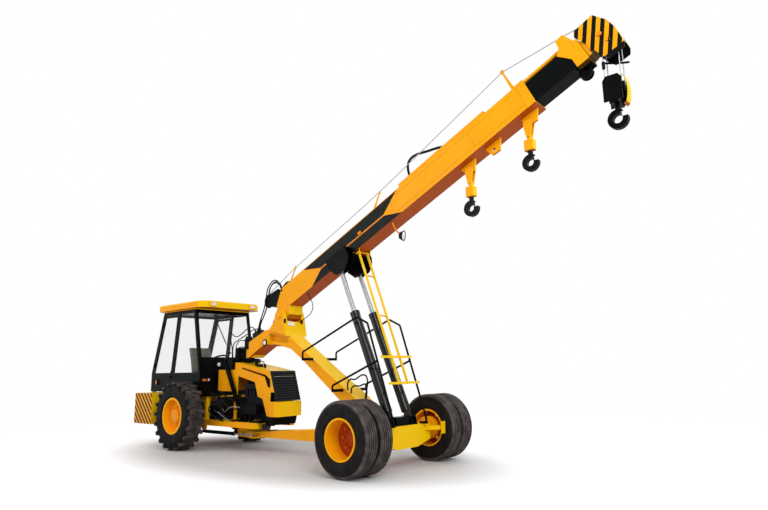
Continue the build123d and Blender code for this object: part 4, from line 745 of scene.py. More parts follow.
@dataclass(frozen=True)
class BandedEnamel(PlateEnamel):
    """The boom's enamel: a black hourglass band on each side with a bright line along its waist, and weld seams."""

    pivot: Point = (0, 0, 0)
    waist_t: float = 0.247
    start_s: float = 1.22
    end_s: float = 2.76
    slope: float = 2.0
    line_half: float = 0.012
    band_half: float = 0.208
    # from and to along the boom, from and to across it: the low and the high seam, and the two across
    seams: Sequence[tuple[float, float, float, float]] = (
        (3.0, 5.52, 0.138, 0.144), (3.1, 5.4, 0.396, 0.402), (2.98, 2.986, 0.08, 0.46), (4.62, 4.626, 0.14, 0.4),
    )
    seam_depth: float = 0.55

    def make(self) -> bpy.types.Material:
        """Builds the material in the boom's own frame.

        Returns:
            The material.
        """
        nodes = Nodes(self.name)
        s, t = nodes.along_boom(self.pivot)
        across = nodes.add("Math", t, self.waist_t, operation="SUBTRACT")[0]
        off = nodes.add("Math", across, operation="ABSOLUTE")[0]
        spread = nodes.add("Math", off, self.slope, operation="MULTIPLY")[0]
        widened = nodes.add("Math", s, spread, operation="ADD")[0]
        narrowed = nodes.add("Math", s, spread, operation="SUBTRACT")[0]
        sideways = nodes.sideways()
        band = nodes.add("Math", widened, self.start_s, operation="GREATER_THAN")[0]
        before = nodes.add("Math", narrowed, self.end_s, operation="LESS_THAN")[0]
        inside = nodes.add("Math", off, self.band_half, operation="LESS_THAN")[0]
        for part in (before, inside, sideways):
            band = nodes.add("Math", band, part, operation="MULTIPLY")[0]
        clear = nodes.add("Math", off, self.line_half, operation="GREATER_THAN")[0]
        black = nodes.add("Math", band, clear, operation="MULTIPLY")[0]
        line = nodes.add("Math", band, black, operation="SUBTRACT")[0]
        seam = 0.0
        for low_s, high_s, low_t, high_t in self.seams:
            run = nodes.within(s, low_s, high_s)
            mark = nodes.add("Math", run, nodes.within(t, low_t, high_t), operation="MULTIPLY")[0]
            seam = nodes.add("Math", seam, mark, operation="MAXIMUM")[0]
        seam = nodes.add("Math", seam, sideways, operation="MULTIPLY")[0]
        colour = self.tone(nodes)
        for share, over in (
            (nodes.add("Math", seam, self.seam_depth, operation="MULTIPLY")[0], Colour.SEAM),
            (black, Colour.BLACK_ENAMEL), (line, Colour.BRIGHT_ORANGE),
        ):
            colour = nodes.add("Mix", share, data_type="RGBA", i6=colour, i7=linear(over))[2]
        return self.finished(nodes, colour)


@dataclass(frozen=True)
class HazardEnamel(PlateEnamel):
    """Warning enamel: black bands across the yellow of the outer side faces, all black inside and below a line."""

    pitch: float = 0.113
    lean: Pair = (1.0, 0.12)        # how much the count of bands grows along X and Z
    pivot: Point = (0, 0, 0)
    black_below_t: float = -9.0     # measured square to the boom
    first_band: float = 40.0        # keeps the count above zero

    def make(self) -> bpy.types.Material:
        """Builds the material: bands count along the lean over X and Z, on the sides only.

        Returns:
            The material.
        """
        nodes = Nodes(self.name)
        x, y, z = nodes.parts()
        rise = nodes.add("Math", z, self.lean[1], operation="MULTIPLY")[0]
        count = nodes.add("Math", x, self.lean[0], rise, operation="MULTIPLY_ADD")[0]
        turns = nodes.add("Math", count, 1.0 / self.pitch, self.first_band, operation="MULTIPLY_ADD")[0]
        share = nodes.add("Math", turns, operation="FRACT")[0]
        dark = nodes.add("Math", share, 0.5, operation="GREATER_THAN")[0]
        banded = nodes.add("Math", dark, nodes.sideways(), operation="MULTIPLY")[0]
        below = nodes.add("Math", nodes.along_boom(self.pivot)[1], self.black_below_t, operation="LESS_THAN")[0]
        outward = nodes.add("Math", y, nodes.facing()[1], operation="MULTIPLY")[0]
        inward = nodes.add("Math", outward, -0.02, operation="LESS_THAN")[0]
        black = nodes.add("Math", banded, below, operation="MAXIMUM")[0]
        black = nodes.add("Math", black, inward, operation="MAXIMUM")[0]
        enamel = linear(Colour.BLACK_ENAMEL)
        return self.finished(nodes, nodes.add("Mix", black, data_type="RGBA", i6=self.tone(nodes), i7=enamel)[2])


@dataclass(frozen=True)
class SplitEnamel(PlateEnamel):
    """Enamel of two colours on one forging: its own above a height, black below it."""

    split_z: float = 0.0

    def make(self) -> bpy.types.Material:
        """Builds the material.

        Returns:
            The material.
        """
        nodes = Nodes(self.name)
        below = nodes.add("Math", nodes.parts()[2], self.split_z, operation="LESS_THAN")[0]
        enamel = linear(Colour.BLACK_ENAMEL)
        return self.finished(nodes, nodes.add("Mix", below, data_type="RGBA", i6=self.tone(nodes), i7=enamel)[2])


@dataclass(frozen=True)
class DishEnamel(PlateEnamel):
    """Wheel enamel: gold on the barrel and lip, with painted shade in red-orange on the recessed disc at the bottom of
    the dish.
    """

    disc_y: Pair = (0.9, 1.05)
    disc_shade: Colour = Colour.RIM_SHADE_RED

    def make(self) -> bpy.types.Material:
        """Builds the material: the disc is the part that looks along Y between two distances from the middle.

        Returns:
            The material.
        """
        nodes = Nodes(self.name)
        y = nodes.add("Math", nodes.parts()[1], operation="ABSOLUTE")[0]
        disc = nodes.add("Math", nodes.sideways(), nodes.within(y, *self.disc_y), operation="MULTIPLY")[0]
        # painted shade on the recessed disc
        colour = nodes.add("Mix", disc, data_type="RGBA", i6=self.tone(nodes), i7=linear(self.disc_shade))[2]
        return self.finished(nodes, colour)


@dataclass(frozen=True)
class TyreRubber(Finish):
    """Vulcanised tyre rubber: black and smooth on the sidewall's fine rings, greyer with road dust on the tread."""

    centre: Point
    tread_radius: float
    grooves: Sequence[float] = ()       # where plain grooves run round the tread, from its middle
    dust: Colour = Colour.ROAD_DUST
    groove_half: float = 0.006
    groove_depth_mm: float = 9.0
    shoulder: Pair = (0.05, 0.03)       # how far inside the tread's radius the sidewall ends and the tread starts
    ring_pitch: float = 0.022
    ring_share: float = 0.06            # height of the sidewall's rings as a share of the groove's depth
    dust_mm: float = 130.0
    wall_dust: float = 0.1              # share of the tread's dust that the sidewall keeps

    def make(self) -> bpy.types.Material:
        """Builds the material round the wheel's axis.

        Returns:
            The material.
        """
        nodes = Nodes(self.name)
        here = nodes.parts()
        x = nodes.add("Math", here[0], self.centre[0], operation="SUBTRACT")[0]
        z = nodes.add("Math", here[2], self.centre[2], operation="SUBTRACT")[0]
        out = nodes.add("Math", here[1], operation="ABSOLUTE")[0]
        y = nodes.add("Math", out, self.centre[1], operation="SUBTRACT")[0]
        square = nodes.add("Math", x, x, nodes.add("Math", z, z, operation="MULTIPLY")[0], operation="MULTIPLY_ADD")[0]
        radius = nodes.add("Math", square, operation="SQRT")[0]
        starts = [self.tread_radius - inside for inside in self.shoulder]
        tread = nodes.add("MapRange", radius, *starts, 0.0, 1.0)[0]
        groove = 0.0
        for spot in self.grooves:
            beside = nodes.add("Math", y, spot, operation="SUBTRACT")[0]
            gap = nodes.add("Math", beside, operation="ABSOLUTE")[0]
            cut = nodes.add("Math", gap, self.groove_half, operation="LESS_THAN")[0]
            groove = nodes.add("Math", groove, cut, operation="MAXIMUM")[0]
        groove = nodes.add("Math", groove, tread, operation="MULTIPLY")[0]
        turn = nodes.add("Math", radius, 2 * math.pi / self.ring_pitch, operation="MULTIPLY")[0]
        wave = nodes.add("Math", turn, operation="SINE")[0]
        wave = nodes.add("Math", wave, self.ring_share, operation="MULTIPLY")[0]
        sidewall = nodes.add("Math", 1.0, tread, operation="SUBTRACT")[0]
        rings = nodes.add("Math", wave, sidewall, operation="MULTIPLY")[0]
        worn = nodes.add("MapRange", nodes.noise(self.dust_mm, 5.0), 0.4, 0.75, 0.35, 1.0)[0]
        dusted = nodes.add("Math", tread, 1 - self.wall_dust, self.wall_dust, operation="MULTIPLY_ADD")[0]
        dusted = nodes.add("Math", worn, dusted, operation="MULTIPLY")[0]
        colour = nodes.add("Mix", dusted, data_type="RGBA", i6=linear(Colour.RUBBER), i7=linear(self.dust))[2]
        # painted shade: the grooves are darker than the plain rubber
        nodes.base(nodes.add("Mix", groove, data_type="RGBA", i6=colour, i7=linear(Colour.GROOVE_SHADE))[2])
        nodes.uneven_gloss(0.5, 0.7, 90.0)
        nodes.set(Specular_IOR_Level=0.06)
        nodes.bump(nodes.add("Math", rings, groove, operation="SUBTRACT")[0], self.groove_depth_mm, 0.9)
        return nodes.material


@dataclass(frozen=True)
class SatinPlastic(Finish):
    """Moulded black plastic or rubber hose cover: satin with a fine pebble grain."""

    colour: Colour = Colour.BLACK_PLASTIC
    roughness: float = 0.45
    pebble_mm: float = 3.0      # the moulded grain is about 1 mm across, drawn coarser so that it shows
    pebble_depth_mm: float = 0.2
    patch_mm: float = 60.0

    def make(self) -> bpy.types.Material:
        """Builds the material.

        Returns:
            The material.
        """
        nodes = Nodes(self.name)
        paler = shaded(self.colour, 1.6, 0.004)
        nodes.base(nodes.add("Mix", nodes.noise(70.0, 4.0), data_type="RGBA", i6=linear(self.colour), i7=paler)[2])
        nodes.uneven_gloss(self.roughness - 0.06, self.roughness + 0.1, self.patch_mm)
        nodes.set(Specular_IOR_Level=0.08)
        nodes.bump(nodes.noise(self.pebble_mm), self.pebble_depth_mm, 0.5)
        return nodes.material


@dataclass(frozen=True)
class BareMetal(Finish):
    """Ground, plated or cast metal, with fine marks along its length."""

    colour: Colour
    roughness: float
    metallic: float = 1.0
    marks_mm: float = 4.0       # size of the fine marks, or none where it is zero
    marks_depth_mm: float = 0.05
    patch_mm: float = 60.0

    def make(self) -> bpy.types.Material:
        """Builds the material.

        Returns:
            The material.
        """
        nodes = Nodes(self.name)
        drift = nodes.noise(1.5 * self.patch_mm, 4.0)
        darker = shaded(self.colour, 0.8)
        nodes.base(nodes.add("Mix", drift, data_type="RGBA", i6=linear(self.colour), i7=darker)[2])
        nodes.uneven_gloss(self.roughness, self.roughness + 0.12, self.patch_mm)
        nodes.set(Metallic=self.metallic, Specular_IOR_Level=0.15)
        if self.marks_mm:
            nodes.bump(nodes.noise(self.marks_mm), self.marks_depth_mm, 0.4)
        return nodes.material


@dataclass(frozen=True)
class WireRope(Finish):
    """Galvanised wire rope of six strands: bright wires, with painted shade in the hollows between the slanted strands.
    """

    lay_mm: float = 26.0        # how far along the rope the strands' pattern repeats
    slant: float = 1.4
    hollow_mm: float = 1.6

    def make(self) -> bpy.types.Material:
        """Builds the material for ropes that hang plumb.

        Returns:
            The material.
        """
        nodes = Nodes(self.name)
        x, y, z = nodes.parts()
        rise = nodes.add("Math", y, self.slant, z, operation="MULTIPLY_ADD")[0]
        rise = nodes.add("Math", x, self.slant, rise, operation="MULTIPLY_ADD")[0]
        turn = nodes.add("Math", rise, 2 * math.pi / (self.lay_mm * MM), operation="MULTIPLY")[0]
        strand = nodes.add("Math", nodes.add("Math", turn, operation="SINE")[0], 0.5, 0.5, operation="MULTIPLY_ADD")[0]
        # painted shade in the hollows, where the strand pattern dips
        hollow_shade = linear(Colour.WIRE_HOLLOW_SHADE)
        nodes.base(nodes.add("Mix", strand, data_type="RGBA", i6=hollow_shade, i7=linear(Colour.WIRE))[2])
        nodes.set(Metallic=0.8)
        nodes.uneven_gloss(0.3, 0.5, 30.0)
        nodes.bump(strand, self.hollow_mm, 0.9)
        return nodes.material


@dataclass(frozen=True)
class ClearGlass(Finish):
    """Clear safety glass, faintly green: mostly see-through, with a thin film of dust that the light catches."""

    film: float = 0.05          # how much of the light the dust catches
    smear_mm: float = 300.0

    def make(self) -> bpy.types.Material:
        """Builds the material as a see-through sheet under a gloss.

        Returns:
            The material.
        """
        nodes = Nodes(self.name)
        dust = nodes.noise(self.smear_mm, 3.0)
        dusty = shaded(Colour.GLASS, 0.8)
        nodes.base(nodes.add("Mix", dust, data_type="RGBA", i6=linear(Colour.GLASS), i7=dusty)[2])
        nodes.set(Alpha=self.film)
        smear = nodes.add("MapRange", dust, 0.4, 0.7, 0.03, 0.09)
        nodes.tree.links.new(smear[0], nodes.shader.inputs["Roughness"])
        return nodes.material


@dataclass(frozen=True)
class SewnVinyl(Finish):
    """Embossed seat vinyl: soft sheen, leather-like grain, paler where it is worn."""

    grain_mm: float = 6.0       # embossing is about 2 mm across, drawn coarser so that it shows
    grain_depth_mm: float = 0.5
    worn_mm: float = 90.0

    def make(self) -> bpy.types.Material:
        """Builds the material.

        Returns:
            The material.
        """
        nodes = Nodes(self.name)
        worn = nodes.add("MapRange", nodes.noise(self.worn_mm, 5.0), 0.45, 0.7, 0.0, 0.6)[0]
        pale = linear(Colour.WORN_VINYL)
        nodes.base(nodes.add("Mix", worn, data_type="RGBA", i6=linear(Colour.VINYL), i7=pale)[2])
        nodes.set(Sheen_Weight=0.15)
        nodes.uneven_gloss(0.42, 0.58, 60.0)
        cells = nodes.add("TexVoronoi", Vector=nodes.place(), Scale=1 / (self.grain_mm * MM))
        nodes.bump(cells["Distance"], self.grain_depth_mm, 0.6)
        return nodes.material


@dataclass(frozen=True)
class LampLens(Finish):
    """A ribbed acrylic lamp lens: glossy, with upright moulded ribs and painted shade across them."""

    colour: Colour
    rib_mm: float = 12.0
    rib_depth_mm: float = 0.8

    def make(self) -> bpy.types.Material:
        """Builds the material.

        Returns:
            The material.
        """
        nodes = Nodes(self.name)
        turn = nodes.add("Math", nodes.parts()[1], 2 * math.pi / (self.rib_mm * MM), operation="MULTIPLY")[0]
        ribs = nodes.add("Math", turn, operation="SINE")[0]
        share = nodes.add("Math", ribs, 0.4, 0.4, operation="MULTIPLY_ADD")[0]
        # painted shade across the ribs: the colour darkens with each rib
        rib_shade = shaded(self.colour, 0.72)
        nodes.base(nodes.add("Mix", share, data_type="RGBA", i6=linear(self.colour), i7=rib_shade)[2])
        nodes.set(Roughness=0.12, Coat_Weight=0.6)
        nodes.bump(ribs, self.rib_depth_mm, 0.6)
        return nodes.material


@dataclass
class PaintShop:
    """Builds every finish once and hands it out by name."""

    axle_x: float
    groove_pitch: float = 0.04
    twin_offset: float = 0.147
    made: dict[str, bpy.types.Material] = field(default_factory=dict)

    def __post_init__(self) -> None:
        """Mixes every finish of the machine."""
        for finish in (*self.enamels(), *self.others()):
            self.made[finish.name] = finish.make()

    def enamels(self) -> list[Finish]:
        """Lists the paints.

        Returns:
            The paints.
        """
        black, yellow, rear_disc_shade = Colour.BLACK_ENAMEL, Colour.YELLOW, Colour.RIM_SHADE_AMBER
        pivot = (self.axle_x - BOOM_PIVOT_BEHIND_AXLE, 0.0, BOOM_PIVOT_Z)
        # painted light on faces that look up or ahead, painted shade on faces that look down: orange here, black in the
        # next
        gold = {"under": Colour.SHADE_ORANGE, "upper": Colour.SUNLIT_YELLOW}
        dark = {"under": black, "upper": Colour.SUNLIT_YELLOW}
        return [
            PlateEnamel("yellow_enamel", yellow, **gold),
            PlateEnamel("pale_enamel", Colour.PALE_YELLOW, **gold),
            DishEnamel("front_rim_enamel", Colour.RIM_YELLOW, disc_y=(0.9, 1.06)),
            DishEnamel("rear_rim_enamel", Colour.RIM_YELLOW, disc_y=(0.75, 0.94), disc_shade=rear_disc_shade),
            PlateEnamel("orange_enamel", Colour.BRIGHT_ORANGE, Colour.SHADE_ORANGE),
            PlateEnamel("black_enamel", black, roughness=0.3, coat=0.0, specular=0.05),
            PlateEnamel("gloss_black_enamel", black, roughness=0.16, coat=0.0, specular=0.3),
            PlateEnamel("grille_enamel", black, roughness=0.3, coat=0.0, specular=0.14),
            PlateEnamel("white_enamel", Colour.WHITE_ENAMEL),
            # the nuts take the painted shade of the discs under them
            PlateEnamel("front_nut_enamel", Colour.RIM_SHADE_RED),
            PlateEnamel("rear_nut_enamel", rear_disc_shade),
            PlateEnamel("collar_enamel", yellow, **dark),
            BandedEnamel("boom_enamel", yellow, pivot=pivot, **gold),
            HazardEnamel("head_hazard_enamel", yellow, lean=(1.0, -0.14), pivot=pivot, black_below_t=-0.045, **dark),
            HazardEnamel("counterweight_hazard_enamel", yellow, pitch=0.088, lean=(0.72, 0.72), **gold),
            SplitEnamel("middle_hook_enamel", yellow, split_z=3.825, **gold),
            SplitEnamel("front_hook_enamel", yellow, split_z=4.274, **gold),
        ]

    def others(self) -> list[Finish]:
        """Lists the rubbers, plastics, metals, glass, vinyl and lenses.

        Returns:
            The finishes that aren't paint.
        """
        front = (self.axle_x, FRONT_WHEEL_Y, FRONT_WHEEL_Z)
        rear = (self.axle_x - WHEELBASE, REAR_WHEEL_Y, REAR_WHEEL_Z)
        twins = (-self.twin_offset, self.twin_offset)
        grooves = [twin + step * self.groove_pitch for twin in twins for step in (-2, -1, 0, 1, 2)]
        return [
            TyreRubber("front_tyre_rubber", front, FRONT_WHEEL_Z, grooves, Colour.PALE_DUST),
            TyreRubber("rear_tyre_rubber", rear, REAR_WHEEL_Z),
            SatinPlastic("black_moulding"),
            SatinPlastic("hose_rubber", roughness=0.38),
            BareMetal("hard_chrome", Colour.STEEL, 0.32, marks_mm=0.0, patch_mm=900.0),
            BareMetal("zinc_plate", Colour.STEEL, 0.3, 0.9, 6.0),
            BareMetal("painted_casting", Colour.IRON, 0.42, 0.1, 5.0),
            WireRope("wire_rope"),
            ClearGlass("safety_glass"),
            SewnVinyl("seat_vinyl"),
            LampLens("white_lens", Colour.WHITE_LENS),
            LampLens("amber_lens", Colour.AMBER_LENS),
        ]

    def coat(self, piece: Piece, *names: str) -> None:
        """Gives a piece its finishes, in the order of its material slots.

        Args:
            piece: the piece.
            *names: the finishes' names.
        """
        piece.data.materials.clear()
        for name in names:
            piece.data.materials.append(self.made[name])

    def recoat(self, node: Piece, name: str) -> None:
        """Gives a CAD node a finish in each of its material slots."""
        for spot in node.material_slots:
            spot.material = self.made[name]


# ------------------------------------------------------------------ the machine's pieces
NODE_FINISHES: dict[str, tuple[str, ...]] = {
    "yellow_enamel": (
        "front_frame", "axle_beam", "drawbar", "rear_chassis", "hood", "cab_roof", "boom_guard", "front_weight",
        "boom_pin",
    ),
    "collar_enamel": ("telescope_barrel", "fly_section"),
    "pale_enamel": ("boom_ladder",),
    "boom_enamel": ("boom_base",),
    "front_rim_enamel": ("front_rims_right", "front_rims_left"),
    "rear_rim_enamel": ("rear_rim_right", "rear_rim_left"),
    "black_enamel": (
        "second_section", "lift_bracket", "cab_shell", "door_right", "door_left", "handrails",
        "steer_barrel_right", "steer_barrel_left", "cylinder_feet", "hook_block", "rear_axle", "pivot_yoke",
        "weight_box", "battery_box_right", "battery_box_left", "winch",
    ),
    "gloss_black_enamel": ("lift_barrels",),
    "grille_enamel": ("grille",),
    "head_hazard_enamel": ("boom_head",),
    "counterweight_hazard_enamel": ("counterweight",),
    "hard_chrome": ("lift_rods", "telescope_rod", "steer_rod_right", "steer_rod_left"),
    "painted_casting": ("engine", "head_sheaves"),
    "middle_hook_enamel": ("hook_middle",),
    "front_hook_enamel": ("hook_front",),
    "wire_rope": ("hoist_falls",),
    "front_tyre_rubber": ("front_tyres_right", "front_tyres_left"),
    "rear_tyre_rubber": ("rear_tyre_right", "rear_tyre_left"),
    "safety_glass": ("cab_glass", "door_glass_right", "door_glass_left"),
    "black_moulding": ("steering_column",),
}


@dataclass
class CadNodes:
    """The CAD nodes, each given its real finish."""

    nodes: dict[str, Piece]
    shop: PaintShop

    def dress(self) -> None:
        """Gives every node its finish, and warns of one that was left out."""
        left = set(self.nodes) - {"seat"}
        for finish, names in NODE_FINISHES.items():
            for name in left.intersection(names):
                self.shop.recoat(self.nodes[name], finish)
            left.difference_update(names)
        for name in sorted(left):
            LOG.warning("no finish for %s", name)
            self.shop.recoat(self.nodes[name], "yellow_enamel")


@dataclass
class Fittings:
    """Base of the sub-assemblies added here: they share the paint shop and the machine's datum."""

    shop: PaintShop
    axle_x: float

    def at(self, x: float, y: float, z: float) -> Point:
        """Gives the row frame's point for one measured from the front axle."""
        return (self.axle_x + x, y, z)

    def boom(self, s: float, t: float, y: float = 0.0) -> Point:
        """Gives the row frame's point for one measured along and across the boom.

        Args:
            s: the distance along the boom from its foot pin.
            t: the height square to it.
            y: how far to the left.

        Returns:
            The point.
        """
        return self.at(
            -BOOM_PIVOT_BEHIND_AXLE + s * math.cos(BOOM_ANGLE) - t * math.sin(BOOM_ANGLE), y,
            BOOM_PIVOT_Z + s * math.sin(BOOM_ANGLE) + t * math.cos(BOOM_ANGLE),
        )

    def route(self, points: Route) -> Route:
        """Gives a route in the row frame for one measured from the front axle."""
        return [self.at(*point) for point in points]

    def boom_route(self, points: Sequence[Pair], y: float = 0.0) -> Route:
        """Gives a route in the row frame for one measured along and across the boom."""
        return [self.boom(s, t, y) for s, t in points]

    def finish(self, piece: Piece, body: str, slot: str, *coats: str) -> None:
        """Coats a piece, lets it ride on a body and reports it.

        Args:
            piece: the finished object.
            body: the CAD body that it moves with.
            slot: the name of its material slot; not used.
            *coats: its finishes, in the order of its material slots.
        """
        if coats:
            self.shop.coat(piece, *coats)
        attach(piece, body)
        LOG.info("%s rides on %s", piece.name, body)


@dataclass(frozen=True)
class NutCircle:
    """Nuts or bolts evenly round a wheel's hub, on both sides of the machine."""

    name: str
    body: str
    seat: Point             # the middle of the left circle, measured from the front axle
    radius: float
    count: int
    nut: Nut
    coat: str
    first: float = 0.0      # the first nut's angle in degrees


@dataclass
class WheelFittings(Fittings):
    """The nuts of the four wheel sets and the bolts of the front hubs."""

    circles: Sequence[NutCircle] = (
        NutCircle(
            "front_wheel_nuts", "front_wheels", (0, 1.0022, FRONT_WHEEL_Z), 0.125, 10, Nut(0.026, 0.022),
            "front_nut_enamel",
        ),
        NutCircle(
            "front_hub_bolts", "front_wheels", (0, 1.0305, FRONT_WHEEL_Z), 0.072, 8, Nut(0.016, 0.01),
            "front_nut_enamel", 22.5,
        ),
        NutCircle(
            "rear_wheel_nuts", "rear_wheel", (-WHEELBASE, 0.869, REAR_WHEEL_Z), 0.165, 8, Nut(0.03, 0.026),
            "rear_nut_enamel",
        ),
    )

    def build(self) -> None:
        """Adds the nuts and bolts on both sides."""
        for side, word in SIDES:
            for circle in self.circles:
                x, y, z = circle.seat
                seat = self.at(x, side * y, z)
                places = ring_places(seat, (0, side, 0), circle.radius, circle.count, circle.first)
                nuts = copies(f"{circle.name}_{word}", circle.nut.model(), places)
                self.finish(nuts, f"{circle.body}_{word}", "orange_paint", circle.coat)


@dataclass(frozen=True)
class BoxLamp:
    """A box lamp with a bevelled case and a lens let into its face, one on each side of the cab."""

    name: str
    centre: Point           # of the left one, measured from the front axle
    size: Point
    lens: str
    face_axis: int = 0      # 0 where the lens looks ahead, 1 where it looks outward
    case: str = "black_moulding"
    slot: str = "black_plastic"
    edge: float = 0.006
    rim: float = 0.008
    recess: float = 0.004


@dataclass(frozen=True)
class RoundLamp:
    """A round lamp: a turned bowl, a rim and a domed lens, with its details as shares of its radius."""

    name: str
    centre: Point           # the middle of its back, in the row frame
    axis: Point             # where it looks
    radius: float
    lens: str
    sides: int = 36
    depth: float = 0.8
    back: float = 0.6
    rim: float = 0.14
    recess: float = 0.08
    dome: Sequence[Pair] = ((0.3, 0.1), (0.3, 0.04))    # the inset and the rise of each ring of the lens
    smooth_below: float = 40.0

    def make(self, shop: PaintShop) -> Piece:
        """Models the lamp and coats it.

        Args:
            shop: the paint shop.

        Returns:
            The lamp.
        """
        way = Vector(self.axis).normalized()
        depth = self.radius * self.depth
        bowl = drum(self.name, Vector(self.centre) + way * depth / 2, self.axis, self.radius, depth, self.sides)
        settle(bowl)
        pick(bowl, lambda face: face.normal.dot(way) < -END_FACING)
        bpy.ops.transform.resize(value=(self.back, self.back, self.back))
        bpy.ops.object.mode_set(mode="OBJECT")
        shop.coat(bowl, "black_moulding", self.lens)
        pick(bowl, lambda face: face.normal.dot(way) > END_FACING)
        bpy.ops.mesh.inset(thickness=self.radius * self.rim)
        pushed(way * (-self.radius * self.recess))
        second_finish()
        for inset, rise in self.dome:
            bpy.ops.mesh.inset(thickness=self.radius * inset)
            bpy.ops.transform.translate(value=tuple(way * self.radius * rise))
        bpy.ops.object.mode_set(mode="OBJECT")
        smoothed(bowl, self.smooth_below)
        return bowl


